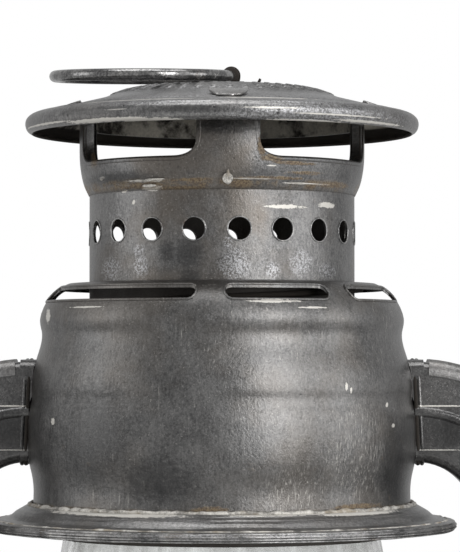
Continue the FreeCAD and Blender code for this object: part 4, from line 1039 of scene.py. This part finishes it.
class LANTERN_OT_chamber(bpy.types.Operator):
    """Spin the air chamber's soft outline, and cut its shoulder slots and the mouths of its two air tubes"""

    bl_idname = "lantern.chamber"
    bl_label = "Chamber"

    def execute(self, context):
        sizes = context.scene.lantern_sheet
        radii = [30.6 + 0.5 * k for k in range(12)]
        shoulder = [(radius, shoulder_height(radius * MM) / MM) for radius in radii]
        chamber = lathe(rounded([(27.3, 211.8), *shoulder, *CHAMBER_WALL], 7), 200)
        modify(chamber, "SOLIDIFY", thickness=sizes.gauge, offset=-1, use_even_offset=True)
        cutters = [self.slot_cutter(sizes, span) for span in slot_spans(sizes)]
        cutters += [self.mouth_cutter(side) for side in (-1, 1)]
        cut_out(chamber, join(cutters))
        settle(chamber, "pressed_chamber", "chamber", "frame", 40)
        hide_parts("air_chamber")
        return {"FINISHED"}

    def slot_cutter(self, sizes, span):
        route = [turned_from_front(angle, radius, 206 * MM) for angle, radius in slot_edge(sizes, span, 0)]
        return prism(route + [route[0]], (0, 0, 8 * MM))

    def mouth_cutter(self, side):
        clean_start()
        bpy.ops.mesh.primitive_cube_add(
            size=MM, location=(side * 38 * MM, 0, TUBE_HEIGHT * MM), scale=(8, 7.6, 16.4))
        cutter = bpy.context.object
        bpy.ops.object.transform_apply(location=True, rotation=True, scale=True)
        modify(cutter, "BEVEL", width=2.4 * MM, segments=4, limit_method="NONE")
        return cutter


class LANTERN_OT_slot_lips(bpy.types.Operator):
    """The turned lip round every shoulder slot"""

    bl_idname = "lantern.slot_lips"
    bl_label = "Slot lips"

    def execute(self, context):
        sizes = context.scene.lantern_sheet
        burr = sizes.burr * 1.6
        lips = []
        for span in slot_spans(sizes):
            route = [
                turned_from_front(angle, radius, shoulder_height(radius))
                for angle, radius in slot_edge(sizes, span, burr * 0.5)
            ]
            lips.append(wire_through(route, burr, closed=True, sides=2))
        made = join(lips)
        settle(made, "slot_lips", "chamber", "frame", 60)
        return {"FINISHED"}


def lumpy_ring(radius, height, thick, size, lumps):
    """A round bead about the axis, in millimetres, uneven in soft lumps of a size."""
    clean_start()
    bpy.ops.mesh.primitive_torus_add(
        major_radius=radius * MM, minor_radius=thick * MM, major_segments=300, minor_segments=8,
        location=(0, 0, height * MM))
    bead = bpy.context.object
    bpy.ops.object.transform_apply(location=True, rotation=True, scale=True)
    lumpy(bead, size * MM, lumps * MM)
    return bead


# Each run of solder: name, radius, height, thickness, size of its lumps and how high they stand
SOLDER_RUNS = (
    ("brim_solder", 38.2, 167.75, 0.50, 1.6, 0.42),
    ("brim_edge_film", 44.7, 164.62, 0.30, 2.6, 0.34),
    ("tank_neck_solder", 21.2, 45.6, 0.5, 2.1, 0.4),
    ("tank_base_solder", 52.2, 2.2, 0.4, 2.1, 0.3),
)


class LANTERN_OT_solder(bpy.types.Operator):
    """Solder runs at the brim's joint and edge, and at the tank's neck and base"""

    bl_idname = "lantern.solder"
    bl_label = "Solder"

    def execute(self, context):
        for name, radius, height, thick, size, lumps in SOLDER_RUNS:
            bead = lumpy_ring(radius, height, thick, size, lumps)
            settle(bead, name, "solder", "frame", 60)
        return {"FINISHED"}


class LANTERN_OT_rolled_edge(bpy.types.Operator):
    """The layers of sheet that show in the brim's rolled edge"""

    bl_idname = "lantern.rolled_edge"
    bl_label = "Rolled edge"

    layers = ((46.25, 164.4), (46.62, 163.9), (46.6, 163.4), (46.2, 162.95))
    thick, lump_size, lumps = 0.17, 14.0, 0.16

    def execute(self, context):
        form = self.thick, self.lump_size, self.lumps
        made = join([lumpy_ring(radius, height, *form) for radius, height in self.layers])
        settle(made, "rolled_edge", "rim", "frame", 60)
        return {"FINISHED"}


class LANTERN_OT_collars(bpy.types.Operator):
    """The flange on each air tube's end, and a black loop painted as the shadow in the gap between it and the
    chamber
    """

    bl_idname = "lantern.collars"
    bl_label = "Tube collars"

    half_wide, half_deep, corner, thick = 5.5, 10.25, 5.2, 0.42

    def execute(self, context):
        # The second loop, in the black finish, is painted shadow in the gap beside the chamber.
        for name, finish, away in (("tube_collars", "tube", 39.3), ("gap_painted_shadow", "soot", 38.5)):
            pair = join([self.loop(side, away) for side in (-1, 1)])
            settle(pair, name, finish, "frame", 60)
        return {"FINISHED"}

    def loop(self, side, away):
        """A wire loop round the tube's section, leaning as the chamber's wall does."""
        wide, deep, corner, lean = self.half_wide, self.half_deep, self.corner, 0.045
        shape = rounded([
            (0, -deep), (wide, -deep, corner), (wide, deep, corner), (-wide, deep, corner),
            (-wide, -deep, corner), (0, -deep),
        ], 8)
        route = [
            Vector((side * (away - point.y * lean), point.x, TUBE_HEIGHT + point.y)) * MM
            for point in shape[:-1]
        ]
        return wire_through(route, self.thick * MM, closed=True)


# Each smear on the crown's skirt: turn from the front in degrees, height, half width and half height
SMEARS = (
    (-34.0, 230.9, 2.9, 0.24), (-27.5, 231.1, 2.2, 0.18), (-30.5, 229.9, 1.5, 0.36), (-43.0, 229.2, 0.4, 0.2),
    (2.5, 232.0, 0.28, 0.85), (2.5, 230.7, 0.72, 0.72), (12.0, 231.0, 3.2, 0.1), (-57.0, 231.6, 0.5, 0.2),
    (36.0, 230.4, 2.6, 0.12),
)


class LANTERN_OT_solder_blobs(bpy.types.Operator):
    """Smears of solder on the crown's skirt and round the pip"""

    bl_idname = "lantern.solder_blobs"
    bl_label = "Solder blobs"

    def execute(self, context):
        blobs = []
        for angle, height, wide, tall in SMEARS:
            clean_start()
            bpy.ops.mesh.primitive_ico_sphere_add(subdivisions=4, radius=MM)
            blob = bpy.context.object
            blob.scale = (wide, min(0.42, tall * 0.7), tall)
            blob.location = turned_from_front(math.radians(angle), self.skirt(height) * MM, height * MM)
            blob.rotation_euler.z = math.radians(angle)
            bpy.ops.object.transform_apply(location=True, rotation=True, scale=True)
            lumpy(blob, 0.0007, min(0.12, tall * 0.3) * MM)
            blobs.append(blob)
        made = join(blobs)
        settle(made, "solder_smears", "solder", "chimney", 60)
        return {"FINISHED"}

    def skirt(self, height):
        """Radius of the crown's skirt at a height, in millimetres."""
        return 27.05 + max(0.0, min(1.0, (height - 229.0) / 2.2)) * 0.9


class LANTERN_OT_clip_liner(bpy.types.Operator):
    """The rolled strap inside the ring's clip, which closes round the wire"""

    bl_idname = "lantern.clip_liner"
    bl_label = "Clip liner"

    def execute(self, context):
        low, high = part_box("ring_clip")
        eye_radius = 1.85 * MM
        eye = (low[0] + eye_radius, 0, high[2] - eye_radius)
        clean_start()
        bpy.ops.mesh.primitive_cylinder_add(
            vertices=48, radius=1.5 * MM, depth=7.7 * MM, location=eye, rotation=(math.radians(90), 0, 0))
        liner = bpy.context.object
        bpy.ops.object.transform_apply(location=True, rotation=True, scale=True)
        soften(liner, 0.25, 50, 3)
        settle(liner, "clip_liner", "soot", "chimney", 60)
        return {"FINISHED"}


# Each lamp: name, place, width, height and watts; all are aimed at the same place
LAMPS = (
    ("key", (0.60, -0.95, 0.50), 0.34, 0.9, 7.3),
    ("side", (1.10, -0.35, 0.40), 0.5, 0.8, 3.4),
    ("fill", (-1.05, -0.20, 0.42), 0.5, 0.8, 2.0),
    ("top", (0.0, -0.10, 1.25), 0.9, 0.6, 6.0),
)
LAMP_AIM = (0, 0, 0.2)


class LANTERN_OT_stage(bpy.types.Operator):
    """Floor, soft studio lights, white surroundings and the camera"""

    bl_idname = "lantern.stage"
    bl_label = "Stage"

    def execute(self, context):
        sizes = context.scene.lantern_stage
        clean_start()
        bpy.ops.mesh.primitive_plane_add(size=sizes.floor_half * 2, location=(0, 0, -0.0002))
        floor = context.object
        floor.name = "floor"
        pale = Finish("pale_floor")
        fade = 1 - pale.radius().between(0.22, 0.60)
        pale.set(Base_Color=(0.80, 0.80, 0.79, 1.0), Roughness=0.7, Alpha=fade)
        floor.data.materials.append(pale.material)
        make_world(context.scene)
        for name, place, wide, high, power in LAMPS:
            bpy.ops.object.light_add(type="AREA", location=place)
            lamp = context.object
            lamp.name = name
            lamp.data.shape = "RECTANGLE"
            lamp.data.size = wide
            lamp.data.size_y = high
            lamp.data.energy = power
            lamp.rotation_euler = (Vector(LAMP_AIM) - Vector(place)).to_track_quat("-Z", "Y").to_euler()
        bpy.ops.object.camera_add(
            location=(sizes.camera_right, -sizes.camera_away, sizes.camera_height),
            rotation=(math.radians(90) + sizes.camera_pitch, 0, 0),
        )
        camera = context.object
        camera.data.lens = sizes.camera_lens
        camera.data.clip_start = 0.01
        context.scene.camera = camera
        context.scene.view_settings.view_transform = "Standard"
        return {"FINISHED"}


def make_world(scene):
    """White where the camera or the glass looks, softer in reflections, and softest as light."""
    lit, more_in_reflections = 0.42, 0.18
    world = bpy.data.worlds.new("studio")
    world.use_nodes = True
    tree = world.node_tree
    background = tree.nodes["Background"]
    background.inputs["Color"].default_value = (1.0, 1.0, 1.0, 1.0)
    path = tree.nodes.new("ShaderNodeLightPath")
    seen = tree.nodes.new("ShaderNodeMath")
    seen.operation = "MAXIMUM"
    tree.links.new(path.outputs["Is Camera Ray"], seen.inputs[0])
    tree.links.new(path.outputs["Is Transmission Ray"], seen.inputs[1])
    gloss = tree.nodes.new("ShaderNodeMath")
    gloss.operation = "MULTIPLY_ADD"
    tree.links.new(path.outputs["Is Glossy Ray"], gloss.inputs[0])
    gloss.inputs[1].default_value = more_in_reflections
    gloss.inputs[2].default_value = lit
    most = tree.nodes.new("ShaderNodeMath")
    most.operation = "MAXIMUM"
    tree.links.new(seen.outputs[0], most.inputs[0])
    tree.links.new(gloss.outputs[0], most.inputs[1])
    tree.links.new(most.outputs[0], background.inputs["Strength"])
    scene.world = world


class LANTERN_PT_panel(bpy.types.Panel):
    """A button for every step, in the order they run"""

    bl_label = "Lantern"
    bl_idname = "LANTERN_PT_panel"
    bl_space_type = "VIEW_3D"
    bl_region_type = "UI"
    bl_category = "Lantern"

    def draw(self, context):
        for step in STEPS:
            self.layout.operator(step)


PIECES = (
    LANTERN_OT_finishes, LANTERN_OT_cap, LANTERN_OT_crown, LANTERN_OT_hole_rims, LANTERN_OT_chamber,
    LANTERN_OT_slot_lips, LANTERN_OT_solder, LANTERN_OT_rolled_edge, LANTERN_OT_collars,
    LANTERN_OT_solder_blobs, LANTERN_OT_clip_liner, LANTERN_OT_stage,
)
CLASSES = (LanternLook, SheetSizes, StageSizes, *PIECES, LANTERN_PT_panel)
STEPS = tuple(piece.bl_idname for piece in PIECES)


def register():
    for item in CLASSES:
        bpy.utils.register_class(item)
    bpy.types.Scene.lantern_look = bpy.props.PointerProperty(type=LanternLook)
    bpy.types.Scene.lantern_sheet = bpy.props.PointerProperty(type=SheetSizes)
    bpy.types.Scene.lantern_stage = bpy.props.PointerProperty(type=StageSizes)


def unregister():
    del bpy.types.Scene.lantern_stage
    del bpy.types.Scene.lantern_sheet
    del bpy.types.Scene.lantern_look
    for item in reversed(CLASSES):
        bpy.utils.unregister_class(item)


def main():
    register()
    for step in STEPS:
        group, action = step.split(".")
        getattr(getattr(bpy.ops, group), action)()


if __name__ == "__main__":
    main()
